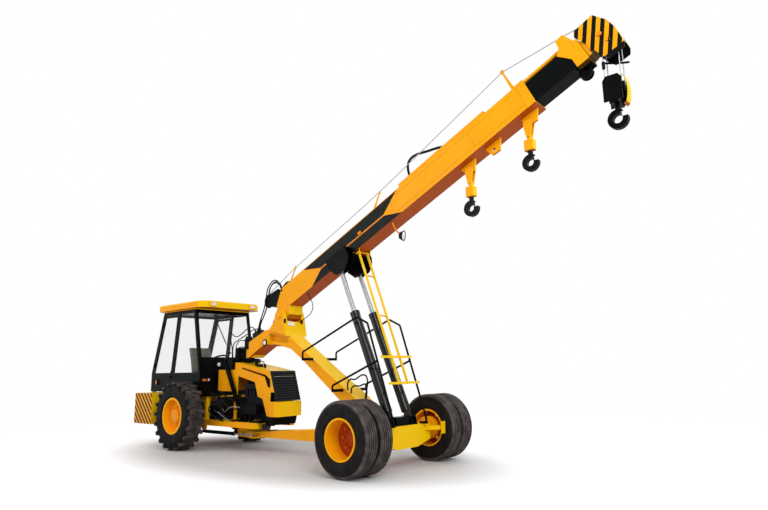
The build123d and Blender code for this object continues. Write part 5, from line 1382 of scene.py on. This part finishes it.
@dataclass
class CabFittings(Fittings):
    """What the rear half carries: lamps, door handles, wiper, seat, valve bank, gussets and hood fittings."""

    lamps: Sequence[BoxLamp] = (
        BoxLamp(
            "roof_lamp", (-4.232, 0.46, 2.724), (0.03, 0.15, 0.085), "white_lens", case="yellow_enamel",
            slot="yellow_paint",
        ),
        BoxLamp("indicator", (CAB_FRONT_X + 0.022, 0.555, 1.27), (0.05, 0.11, 0.07), "amber_lens"),
        BoxLamp("side_light", (CAB_FRONT_X + 0.022, 0.462, 1.27), (0.05, 0.07, 0.07), "white_lens"),
        BoxLamp("tail_lamp", (-5.885, 0.655, 1.225), (0.07, 0.028, 0.11), "amber_lens", 1),
    )
    gusset_outline: Sequence[Pair] = (
        (-6.15, 1.021), (-6.145, 1.06), (-6.052, 1.3), (-5.985, 1.3), (-5.975, 1.021),
    )
    gusset_y: float = 0.6
    gusset_thick: float = 0.012
    handle_x: float = -5.26
    handle_route: Sequence[Pair] = (
        (0.664, 1.345), (0.7, 1.345), (0.708, 1.36), (0.708, 1.44), (0.7, 1.455), (0.664, 1.455),
    )
    spools: int = 5
    spool_pitch: float = 0.065

    def build(self) -> None:
        """Adds the pieces of each side, then the single ones."""
        for side, word in SIDES:
            for lamp in self.lamps:
                self.box_lamp(lamp, side, word)
            self.gusset(side, word)
            self.door_handle(side, word)
        lamp = RoundLamp("work_lamp", self.at(CAB_FRONT_X + 0.01, -0.244, 1.559), AHEAD, 0.045, "white_lens")
        self.finish(lamp.make(self.shop), "rear_unit", "black_plastic")
        self.wiper()
        self.seat()
        self.valves()
        self.hood_top()

    def box_lamp(self, lamp: BoxLamp, side: int, word: str) -> None:
        """Adds a box lamp on one side.

        Args:
            lamp: the lamp and its sizes.
            side: 1 for the left, -1 for the right.
            word: the side's word.
        """
        x, y, z = lamp.centre
        axis, way = lamp.face_axis, side if lamp.face_axis else 1
        body = eased(plate(f"{lamp.name}_{word}", self.at(x, side * y, z), lamp.size), lamp.edge)
        self.shop.coat(body, lamp.case, lamp.lens)
        least = 0.3 * lamp.size[1 - axis] * lamp.size[2]
        pick(body, lambda face: face.normal[axis] * way > END_FACING and face.area > least)
        bpy.ops.mesh.inset(thickness=lamp.rim)
        shift = [0.0, 0.0, 0.0]
        shift[axis] = -lamp.recess * way
        pushed(shift)
        second_finish()
        bpy.ops.object.mode_set(mode="OBJECT")
        self.finish(body, "rear_unit", lamp.slot)

    def gusset(self, side: int, word: str) -> None:
        """Adds the gusset plate at the rear end on one side.

        Args:
            side: 1 for the left, -1 for the right.
            word: the side's word.
        """
        outline = [(self.axle_x + x, z) for x, z in self.gusset_outline]
        piece = prism(f"rear_gusset_{word}", outline, side * self.gusset_y, self.gusset_thick)
        bevelled(piece, 0.002, 1)
        self.finish(piece, "rear_unit", "yellow_paint", "yellow_enamel")

    def door_handle(self, side: int, word: str) -> None:
        """Adds the door's bent grab handle on one side.

        Args:
            side: 1 for the left, -1 for the right.
            word: the side's word.
        """
        grip = hose(
            f"door_handle_{word}", [self.at(self.handle_x, side * y, z) for y, z in self.handle_route], 0.009,
        )
        self.finish(grip, f"door_{word}", "black_plastic", "black_moulding")

    def seat(self) -> None:
        """Adds the driver's seat: two padded cushions on a pressed pedestal, in place of its plain solid."""
        base = Cushion(
            "seat_cushion", self.at(-5.055, 0, 1.352), (0.4, 0.46, 0.085), -3, 0.022, (-0.35, 0.3),
        ).make()
        self.finish(base, "rear_unit", "seat_vinyl", "seat_vinyl")
        back = Cushion(
            "seat_back", self.at(-5.31, 0, 1.66), (0.52, 0.46, 0.085), 74.5, 0.02, (-0.4, 0.0, 0.4),
        ).make()
        self.finish(back, "rear_unit", "seat_vinyl", "seat_vinyl")
        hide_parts("seat")
        pan = eased(plate("seat_pedestal", self.at(-5.08, 0, 1.15), (0.32, 0.32, 0.319)), 0.02, 3)
        hinge = eased(plate("hinge", self.at(-5.24, 0, 1.33), (0.06, 0.3, 0.06)), 0.012)
        self.finish(joined("seat_pedestal", [pan, hinge]), "rear_unit", "black_plastic", "black_moulding")

    def valves(self) -> None:
        """Adds the valve bank beside the chassis, between the cab and the engine, with its hoses and pipes."""
        parts = [eased(plate("valve_bank", self.at(-3.95, -0.42, 0.82), (0.34, 0.13, 0.13)), 0.008)]
        for step in range(self.spools):
            x = -4.08 + self.spool_pitch * step
            parts.append(eased(drum("spool", self.at(x, -0.5, 0.82), ACROSS, 0.022, 0.07, 20), 0.004))
            parts.append(drum("cap", self.at(x, -0.42, 0.9), UPRIGHT, 0.016, 0.05, 6))
        parts.append(plate("foot", self.at(-3.95, -0.4, 0.64), (0.05, 0.05, 0.25)))
        self.finish(joined("valve_bank", parts), "rear_unit", "cast_iron", "painted_casting")
        hoses = bundle(
            "valve_hoses",
            [
                self.route(points)
                for points in (
                    (
                        (-4.08, -0.42, 0.9), (-4.1, -0.45, 0.99), (-4.17, -0.47, 1.03), (-4.26, -0.44, 1.01),
                        (-4.31, -0.4, 0.975),
                    ),
                    (
                        (-4.02, -0.42, 0.9), (-4.0, -0.47, 1.05), (-3.88, -0.5, 1.08), (-3.78, -0.46, 1.0),
                        (-3.66, -0.34, 0.88), (-3.48, -0.15, 0.8),
                    ),
                    (
                        (-3.95, -0.42, 0.9), (-3.93, -0.46, 1.0), (-3.82, -0.52, 0.98), (-3.7, -0.5, 0.84),
                        (-3.56, -0.44, 0.74), (-3.33, -0.35, 0.74),
                    ),
                    (
                        (-3.82, -0.5, 0.82), (-3.74, -0.56, 0.8), (-3.68, -0.56, 0.68), (-3.6, -0.5, 0.58),
                        (-3.42, -0.41, 0.5),
                    ),
                    (
                        (-4.08, -0.52, 0.82), (-4.1, -0.58, 0.76), (-4.02, -0.58, 0.66), (-3.9, -0.52, 0.58),
                        (-3.74, -0.41, 0.5),
                    ),
                )
            ],
            0.013,
        )
        self.finish(hoses, "rear_unit", "black_plastic", "hose_rubber")
        pipes = bundle(
            "valve_pipes",
            [
                self.route(points)
                for points in (
                    (
                        (-3.8, -0.47, 0.76), (-3.7, -0.5, 0.66), (-3.6, -0.47, 0.78), (-3.44, -0.44, 0.8),
                        (-3.34, -0.37, 0.77),
                    ),
                    (
                        (-4.05, -0.48, 0.74), (-3.98, -0.53, 0.7), (-3.84, -0.53, 0.7), (-3.7, -0.48, 0.58),
                        (-3.56, -0.41, 0.5),
                    ),
                )
            ],
            0.006,
        )
        self.finish(pipes, "rear_unit", "chrome", "zinc_plate")

    def hood_top(self) -> None:
        """Adds the filler cap, the breather and their hose on the hood's top, and the grille's bright trim."""
        parts = [
            drum("hood_fittings", self.at(-3.3, -0.1, 1.54), UPRIGHT, 0.032, 0.1, 24),
            drum("cap", self.at(-3.3, -0.1, 1.6), UPRIGHT, 0.052, 0.035, 12),
            plate("body", self.at(-3.18, -0.12, 1.51), (0.1, 0.09, 0.07)),
            drum("plug", self.at(-3.05, -0.1, 1.5), UPRIGHT, 0.024, 0.08, 20),
        ]
        for part in parts:
            eased(part, 0.004)
        line = ((-3.3, 1.56), (-3.22, 1.6), (-3.14, 1.6), (-3.07, 1.57), (-3.05, 1.5))
        parts.append(hose("loop", [self.at(x, -0.1, z) for x, z in line], 0.009))
        self.finish(joined("hood_fittings", parts), "rear_unit", "black_plastic", "hose_rubber")
        lean = (0, math.radians(-19), 0)
        trim = eased(plate("grille_trim", self.at(-2.634, 0, 1.318), (0.008, 0.5, 0.014), lean), 0.003)
        self.finish(trim, "rear_unit", "chrome", "zinc_plate")

    def wiper(self) -> None:
        """Adds the windscreen wiper: spindle, arm and blade."""
        hub = eased(drum("wiper", self.at(CAB_FRONT_X - 0.03, 0.05, 1.78), (1, 0, 0.2), 0.016, 0.05, 20), 0.003)
        line = ((-0.02, 0.05, 1.78), (-0.05, -0.02, 1.95), (-0.078, -0.1, 2.14))
        arm = hose("arm", [self.at(CAB_FRONT_X + x, y, z) for x, y, z in line], 0.005)
        lean = (math.radians(18), math.radians(-16), 0)
        blade = plate("blade", self.at(CAB_FRONT_X - 0.085, -0.12, 2.17), (0.012, 0.018, 0.42), lean)
        whole = joined("wiper", [hub, arm, eased(blade, 0.004)])
        self.finish(whole, "rear_unit", "black_plastic", "black_moulding")


@dataclass
class FrameFittings(Fittings):
    """Hoses, the blank white plate, stops and the boss's caps on the front frame."""

    stop_ys: Pair = (-0.235, 0.16)
    cap_rim: float = 0.012
    leg_hose_radius: float = 0.012
    yoke_hose_radius: float = 0.009

    def build(self) -> None:
        """Adds what stands on the front frame."""
        lean = (0, math.radians(-8), 0)
        blank = eased(plate("mast_plate", self.at(-2.347, -0.086, 2.235), (0.006, 0.157, 0.055), lean), 0.0015, 1)
        self.finish(blank, "front_unit", "chrome", "white_enamel")
        stops = [eased(plate("stop", self.at(-2.352, y, 2.285), (0.03, 0.035, 0.075)), 0.006) for y in self.stop_ys]
        self.finish(joined("mast_stops", stops), "front_unit", "black_paint", "black_moulding")
        for side, word in SIDES:
            self.boss_cap(side, word)
        self.leg_hoses()
        self.yoke_hoses()

    def boss_cap(self, side: int, word: str) -> None:
        """Adds the round cap on one end of the boss: a black rim round a white dish.

        Args:
            side: 1 for the left, -1 for the right.
            word: the side's word.
        """
        ring = drum(f"boss_cap_{word}", self.at(-2.9, side * 0.235, 1.925), (0, side, 0), 0.064, 0.012, 40)
        settle(ring)
        pick(ring, lambda face: face.normal.y * side > END_FACING)
        bpy.ops.mesh.inset(thickness=self.cap_rim)
        pushed((0, -side * 0.006, 0))
        bpy.ops.mesh.inset(thickness=self.cap_rim)
        bpy.ops.transform.translate(value=(0, side * 0.01, 0))
        self.shop.coat(ring, "black_moulding", "white_enamel")
        second_finish()
        bpy.ops.object.mode_set(mode="OBJECT")
        bevelled(ring, 0.002)
        self.finish(ring, "front_unit", "chrome")

    def leg_hoses(self) -> None:
        """Adds the two curled hoses between the front leg and the feet of the lift cylinders."""
        upper = (
            (-0.9, -0.14, 1.11), (-0.88, -0.19, 1.2), (-0.8, -0.2, 1.285), (-0.7, -0.2, 1.262), (-0.63, -0.2, 1.3),
            (-0.54, -0.2, 1.345), (-0.45, -0.2, 1.33), (-0.43, -0.19, 1.22), (-0.5, -0.16, 1.08),
            (-0.57, -0.14, 0.8),
        )
        lower = (
            (-0.83, -0.14, 1.06), (-0.79, -0.19, 1.14), (-0.7, -0.2, 1.18), (-0.6, -0.2, 1.165),
            (-0.52, -0.2, 1.2), (-0.46, -0.2, 1.2), (-0.45, -0.19, 1.1), (-0.5, -0.16, 0.98), (-0.54, -0.14, 0.78),
        )
        curls = bundle("leg_hoses", [self.route(upper), self.route(lower)], self.leg_hose_radius)
        self.finish(curls, "front_unit", "black_plastic", "hose_rubber")

    def yoke_hoses(self) -> None:
        """Adds the manifold on the rear leg and the hoses that loop from it over the steering joint."""
        parts = [
            plate("leg_manifold", self.at(-3.3, -0.07, 2.1), (0.2, 0.14, 0.1), (0, math.radians(-22), 0)),
            plate("valve", self.at(-3.6, -0.03, 1.925), (0.17, 0.15, 0.22)),
            plate("stub", self.at(-3.62, -0.05, 2.05), (0.09, 0.1, 0.05)),
        ]
        for x, z in ((-3.36, 2.15), (-3.29, 2.18), (-3.22, 2.205)):
            parts.append(drum("union", self.at(x, -0.1, z), (-0.35, 0, 1), 0.018, 0.06, 6))
        for z in (1.87, 1.93, 1.99):
            parts.append(drum("union", self.at(-3.6, -0.12, z), ACROSS, 0.018, 0.05, 6))
        for part in parts:
            eased(part, 0.005)
        self.finish(joined("leg_manifold", parts), "front_unit", "cast_iron", "painted_casting")
        routes = (
            (
                (-3.36, -0.1, 2.17), (-3.4, -0.12, 2.25), (-3.52, -0.17, 2.22), (-3.64, -0.2, 2.12),
                (-3.8, -0.21, 2.06), (-3.95, -0.2, 2.12), (-4.04, -0.18, 2.2), (-4.08, -0.17, 2.1),
                (-4.02, -0.17, 1.98), (-3.96, -0.18, 1.82), (-3.96, -0.18, 1.62),
            ),
            (
                (-3.29, -0.1, 2.2), (-3.36, -0.15, 2.2), (-3.47, -0.2, 2.1), (-3.58, -0.22, 2.06),
                (-3.72, -0.23, 2.0), (-3.86, -0.22, 1.96), (-3.92, -0.21, 1.84), (-3.9, -0.2, 1.62),
            ),
            (
                (-3.6, -0.15, 1.99), (-3.63, -0.19, 2.0), (-3.74, -0.2, 1.99), (-3.82, -0.2, 1.9),
                (-3.84, -0.19, 1.78), (-3.85, -0.18, 1.62),
            ),
            (
                (-3.6, -0.15, 1.87), (-3.64, -0.2, 1.88), (-3.74, -0.22, 1.85), (-3.8, -0.2, 1.75),
                (-3.8, -0.18, 1.62),
            ),
        )
        loops = bundle("yoke_hoses", [self.route(points) for points in routes], self.yoke_hose_radius)
        self.shop.coat(loops, "hose_rubber")
        self.at(-3.5, 0, 1.9)
        self.at(-3.85, 0, 1.9)
        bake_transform(loops)


@dataclass
class BoomFittings(Fittings):
    """Hoses, hoist rope, the lamp and the small irons of the boom, its sections and the hook block."""

    rope_radius: float = 0.007
    rope_y: float = -0.105
    lamp_y: float = -0.1
    lamp_looks: Point = (0.93, 0.3, -0.15)
    lamp_radius: float = 0.085
    guard_hose_radius: float = 0.02
    foot_hose_radius: float = 0.011
    # how far to the side each foot hose runs, and how far it swings out
    foot_hose_spread: Sequence[Pair] = (
        (-0.15, 0.0), (-0.165, 0.05), (-0.135, 0.025), (0.15, 0.03), (0.165, 0.06),
    )
    sheave_s: float = 6.33

    def build(self) -> None:
        """Adds the boom's own fittings, and those of the sections that slide in it."""
        self.foot_hoses()
        self.mast_hose()
        loop = (
            (3.44, 0.55), (3.45, 0.65), (3.5, 0.765), (3.6, 0.81), (3.74, 0.775), (3.88, 0.7), (4.02, 0.64),
            (4.12, 0.59), (4.17, 0.55),
        )
        arc = hose("guard_hose", self.boom_route(loop, -0.06), self.guard_hose_radius)
        self.finish(arc, "boom", "black_plastic", "hose_rubber")
        clip = plate("boom_clip", self.boom(2.226, 0.28, -0.166), (0.07, 0.018, 0.05), (0, -BOOM_ANGLE, 0))
        self.finish(eased(clip, 0.005), "boom", "orange_paint", "orange_enamel")
        self.lamp()
        self.rope()
        self.head()
        self.block()

    def foot_hoses(self) -> None:
        """Adds the bundle that loops over the foot of the boom and down to the rear leg, across the foot pin."""
        routes = [
            self.route((
                (-3.2, y * 0.6, 1.97), (-3.2, y, 2.05), (-3.2, y, 2.15), (-3.16, y, 2.3), (-3.05 - out, y, 2.42),
                (-2.97 - out, y, 2.58), (-2.93 - out, y, 2.76), (-2.9 - out, y, 2.93), (-2.8, y, 3.02 + out),
                (-2.66, y, 3.0 + out), (-2.57, y, 2.92), (-2.54, y, 2.84),
            ))
            for y, out in self.foot_hose_spread
        ]
        drop = bundle("foot_hoses", routes, self.foot_hose_radius)
        self.shop.coat(drop, "hose_rubber")
        self.at(-3.15, 0, 2.3)
        self.at(-2.98, 0, 2.7)
        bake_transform(drop)

    def mast_hose(self) -> None:
        """Adds the single hose between the mast and the underside of the boom."""
        points = (
            (-1.94, -0.1, 2.79), (-1.88, -0.1, 2.7), (-1.81, -0.1, 2.61), (-1.78, -0.09, 2.5), (-1.85, -0.06, 2.41),
            (-2.0, 0.0, 2.36), (-2.2, 0.08, 2.33), (-2.36, 0.12, 2.27),
        )
        front = hose("mast_hose", self.route(points), 0.007)
        self.shop.coat(front, "hose_rubber")
        self.at(-2.34, 0, 2.3)
        self.at(-1.9, 0, 2.55)
        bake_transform(front)

    def lamp(self) -> None:
        """Adds the lamp under the boom on its bent bracket."""
        place = self.boom(2.87, -0.2, self.lamp_y)
        bowl = RoundLamp("boom_lamp", place, self.lamp_looks, self.lamp_radius, "white_lens").make(self.shop)
        self.finish(bowl, "boom", "black_plastic")
        bend = ((2.84, 0.075), (2.84, -0.06), (2.86, -0.13), (2.89, -0.18))
        iron = hose("boom_lamp_bracket", self.boom_route(bend, self.lamp_y), 0.012)
        self.finish(iron, "boom", "orange_paint", "orange_enamel")

    def rope(self) -> None:
        """Adds the hoist rope: from the winch through the guides on the boom, and on over the sections that slide."""
        last, collar, over = (5.468, 0.836), (6.4, 0.6), (6.74, 0.5)
        line = ((-0.27, 0.585), (0.12, 0.617), (0.6, 0.653), (1.7, 0.663), (2.845, 0.674), (4.1, 0.752), last)
        held = hose("hoist_rope", self.boom_route(line, self.rope_y), self.rope_radius)
        self.finish(held, "boom", "wire", "wire_rope")
        for name, near, far, ends in (
            ("hoist_rope_middle", "boom", "second_stage", (last, collar)),
            ("hoist_rope_front", "second_stage", "fly_stage", (collar, over)),
        ):
            line = [Vector(point) for point in self.boom_route(ends, self.rope_y)]
            shares = (0.0, 0.33, 0.67, 1.0)
            span = hose(name, [tuple(line[0].lerp(line[1], share)) for share in shares], self.rope_radius)
            self.shop.coat(span, "wire_rope")
            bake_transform(span)

    def head(self) -> None:
        """Adds the head's pin, the rope's end bar and the sheave under the second section's end."""
        pin = eased(drum("head_pin", self.boom(6.722, 0.258, -0.126), ACROSS, 0.03, 0.02, 28), 0.005)
        self.finish(pin, "fly_stage", "orange_paint", "orange_enamel")
        bend = ((6.56, -0.05), (6.63, -0.12), (6.7, -0.19), (6.79, -0.262))
        bar = hose("rope_end_bar", self.boom_route(bend), 0.013)
        self.finish(bar, "fly_stage", "black_paint", "black_enamel")
        parts = [eased(drum("end_sheave", self.boom(self.sheave_s, 0.0), ACROSS, 0.075, 0.04, 40), 0.008)]
        lean = (0, -BOOM_ANGLE - math.radians(15), 0)
        for side, _ in SIDES:
            cheek = drum("cheek", self.boom(self.sheave_s, 0.0, side * 0.034), ACROSS, 0.088, 0.012, 40)
            arm = plate("arm", self.boom(self.sheave_s + 0.06, 0.045, side * 0.034), (0.15, 0.012, 0.09), lean)
            hub = drum("hub", self.boom(self.sheave_s, 0.0, side * 0.045), ACROSS, 0.028, 0.02, 24)
            parts += [eased(part, 0.003) for part in (cheek, arm, hub)]
        self.finish(joined("end_sheave", parts), "second_stage", "cast_iron", "black_enamel")

    def block(self) -> None:
        """Adds the hook block's curved yellow guard, its stiffening bars and the rope's socket."""
        low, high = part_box("hook_block")
        x, top = (low[0] + high[0]) / 2, high[2]
        outline = [
            (0.112, 0.0), (0.142, -0.04), (0.162, -0.12), (0.168, -0.21), (0.16, -0.3), (0.142, -0.37),
            (0.112, -0.39),
        ]
        inner = [(across - 0.01, drop) for across, drop in reversed(outline)]
        guard = prism("block_guard", [(x + across, top + drop) for across, drop in (*outline, *inner)], -0.02, 0.12)
        bevelled(guard, 0.002, 1)
        self.finish(guard, "hook_block", "yellow_paint", "pale_enamel")
        bars = [
            eased(plate("bar", (x, side * 0.12, top - drop), (0.18, 0.008, 0.01)), 0.002, 1)
            for side, _ in SIDES for drop in (0.075, 0.1, 0.125, 0.3)
        ]
        self.finish(joined("block_bars", bars), "hook_block", "chrome", "zinc_plate")
        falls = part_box("hoist_falls")[0]
        socket = eased(drum("rope_socket", (falls[0] + 0.007, falls[1] + 0.007, 5.09), UPRIGHT, 0.02, 0.1, 20), 0.006)
        self.finish(socket, "hook_block", "black_paint", "black_enamel")


# ------------------------------------------------------------------ the studio
@dataclass(frozen=True)
class SoftLamp:
    """One large soft lamp that looks at the machine's middle."""

    name: str
    place: Point
    power: float
    size: float


@dataclass
class Studio:
    """Pale floor, soft light and the camera."""

    axle_x: float
    camera_place: Point = (5.647, -6.939, 1.426)    # measured from the front axle
    azimuth: float = 130.265
    pitch: float = 11.095
    roll: float = -0.901
    lens: float = 27.19
    sensor: float = 36.0
    soft_light: float = 0.6
    target: Point = (0, 0, 1.8)
    lamps: Sequence[SoftLamp] = (
        SoftLamp("key", (10.5, -6.5, 9.5), 760.0, 6.0),
        SoftLamp("fill", (-6.0, -9.5, 6.0), 260.0, 7.0),
        SoftLamp("back", (2.0, 9.0, 9.0), 260.0, 8.0),
    )
    # the camera-only white lift is held back over this ellipse, which leaves a painted grey shadow round the machine
    floor_lift: float = 0.5
    painted_shadow_reach: Pair = (4.4, 2.5)       # the shadow's half length and half width, in metres
    painted_shadow_span: Pair = (0.62, 1.1)       # as shares of the reach
    plain_span: Pair = (6.0, 11.0)      # metres from the middle over which the floor turns plain white

    def camera(self) -> None:
        """Places the camera: azimuth and pitch of its view, and its small roll, in degrees."""
        deselect()
        x, y, z = self.camera_place
        bpy.ops.object.camera_add(location=(self.axle_x + x, y, z))
        camera = bpy.context.object
        camera.name = "camera"
        a, p, r = (math.radians(value) for value in (self.azimuth, self.pitch, self.roll))
        ahead = Vector((math.cos(a) * math.cos(p), math.sin(a) * math.cos(p), math.sin(p)))
        right = Vector((math.sin(a), -math.cos(a), 0))
        up = right.cross(ahead)
        rolled_right = right * math.cos(r) + up * math.sin(r)
        rolled_up = up * math.cos(r) - right * math.sin(r)
        camera.rotation_euler = Matrix((rolled_right, rolled_up, -ahead)).transposed().to_euler()
        camera.data.lens, camera.data.sensor_width = self.lens, self.sensor
        camera.data.clip_start, camera.data.clip_end = 0.05, 400.0
        bpy.context.scene.camera = camera

    def away(self, nodes: Nodes, middle_x: float, reach: Pair, span: Pair) -> Socket:
        """Gives a share that grows from zero to one with the distance from a point of the floor.

        Args:
            nodes: the floor's tree.
            middle_x: where the point lies along X.
            reach: the unit of distance along X and along Y.
            span: the distances at which the share leaves zero and reaches one.

        Returns:
            The share's output.
        """
        spread = nodes.add(
            "Mapping", Vector=nodes.place(), Location=(-middle_x / reach[0], 0, 0),
            Scale=(1 / reach[0], 1 / reach[1], 1),
        )
        distance = nodes.add("VectorMath", spread[0], operation="LENGTH")["Value"]
        return nodes.add("MapRange", distance, *span, interpolation_type="SMOOTHSTEP")[0]

    def floor(self) -> None:
        """Adds the pale floor, which shows white to the camera away from the machine, keeps its shadow and has a
        painted soft shadow round it.
        """
        deselect()
        bpy.ops.mesh.primitive_plane_add(size=160, location=(0, 0, -MM))
        floor = bpy.context.object
        floor.name = "floor"
        nodes = Nodes("floor_paint")
        nodes.base(linear(Colour.FLOOR))
        nodes.set(Roughness=0.7, Specular_IOR_Level=0.1)
        # the camera sees the real shadow under the machine inside a painted grey soft shadow, where the white lift is
        # held back, and plain white away from it
        beside = self.away(nodes, self.axle_x - WHEELBASE / 2, self.painted_shadow_reach, self.painted_shadow_span)
        plain = self.away(nodes, 0.0, (1.0, 1.0), self.plain_span)
        seen = nodes.add("Math", nodes.add("LightPath")["Is Camera Ray"], self.floor_lift, operation="MULTIPLY")[0]
        strength = nodes.add("Math", seen, beside, operation="MULTIPLY")[0]
        glow = nodes.add("Emission", Color=(1, 1, 1, 1), Strength=strength)[0]
        lifted = nodes.add("AddShader", nodes.shaded, glow)[0]
        white = nodes.add("Emission", Color=(1, 1, 1, 1), Strength=1.0)[0]
        nodes.show(nodes.add("MixShader", plain, lifted, white)[0])
        floor.data.materials.append(nodes.material)

    def light(self) -> None:
        """Adds the soft lamps and a world that shows white."""
        for lamp in self.lamps:
            deselect()
            bpy.ops.object.light_add(type="AREA", location=lamp.place)
            light = bpy.context.object
            light.name = lamp.name
            light.data.energy, light.data.size = lamp.power, lamp.size
            light.rotation_euler = (Vector(self.target) - Vector(lamp.place)).to_track_quat("-Z", "Y").to_euler()
        world = bpy.data.worlds.new("studio")
        bpy.context.scene.world = world
        tree = Tree(world)
        rays = tree.add("LightPath")
        shown = tree.add("Math", rays["Is Camera Ray"], rays["Is Transmission Ray"], operation="MAXIMUM")[0]
        shown = tree.add("Math", shown, rays["Is Glossy Ray"], operation="MAXIMUM")[0]
        strength = tree.add("MapRange", shown, To_Min=self.soft_light, To_Max=1.0)[0]
        shade = tree.add("Background", Color=(1, 1, 1, 1), Strength=strength)[0]
        tree.add("OutputWorld", Surface=shade)

    def build(self) -> None:
        """Sets the whole studio up."""
        self.camera()
        self.floor()
        self.light()
        bpy.context.scene.view_settings.view_transform = "Standard"


def main() -> None:
    """Builds the machine's looks in order."""
    logging.basicConfig(level=logging.INFO, format="%(name)s: %(message)s")
    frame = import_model()
    low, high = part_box("front_tyres_right")
    axle_x = (low[0] + high[0]) / 2
    Studio(axle_x).build()
    shop = PaintShop(axle_x)
    CadNodes(frame["nodes"], shop).dress()
    for kind in (WheelFittings, CabFittings, FrameFittings, BoomFittings):
        kind(shop, axle_x).build()
    deselect()


if __name__ == "__main__":
    main()
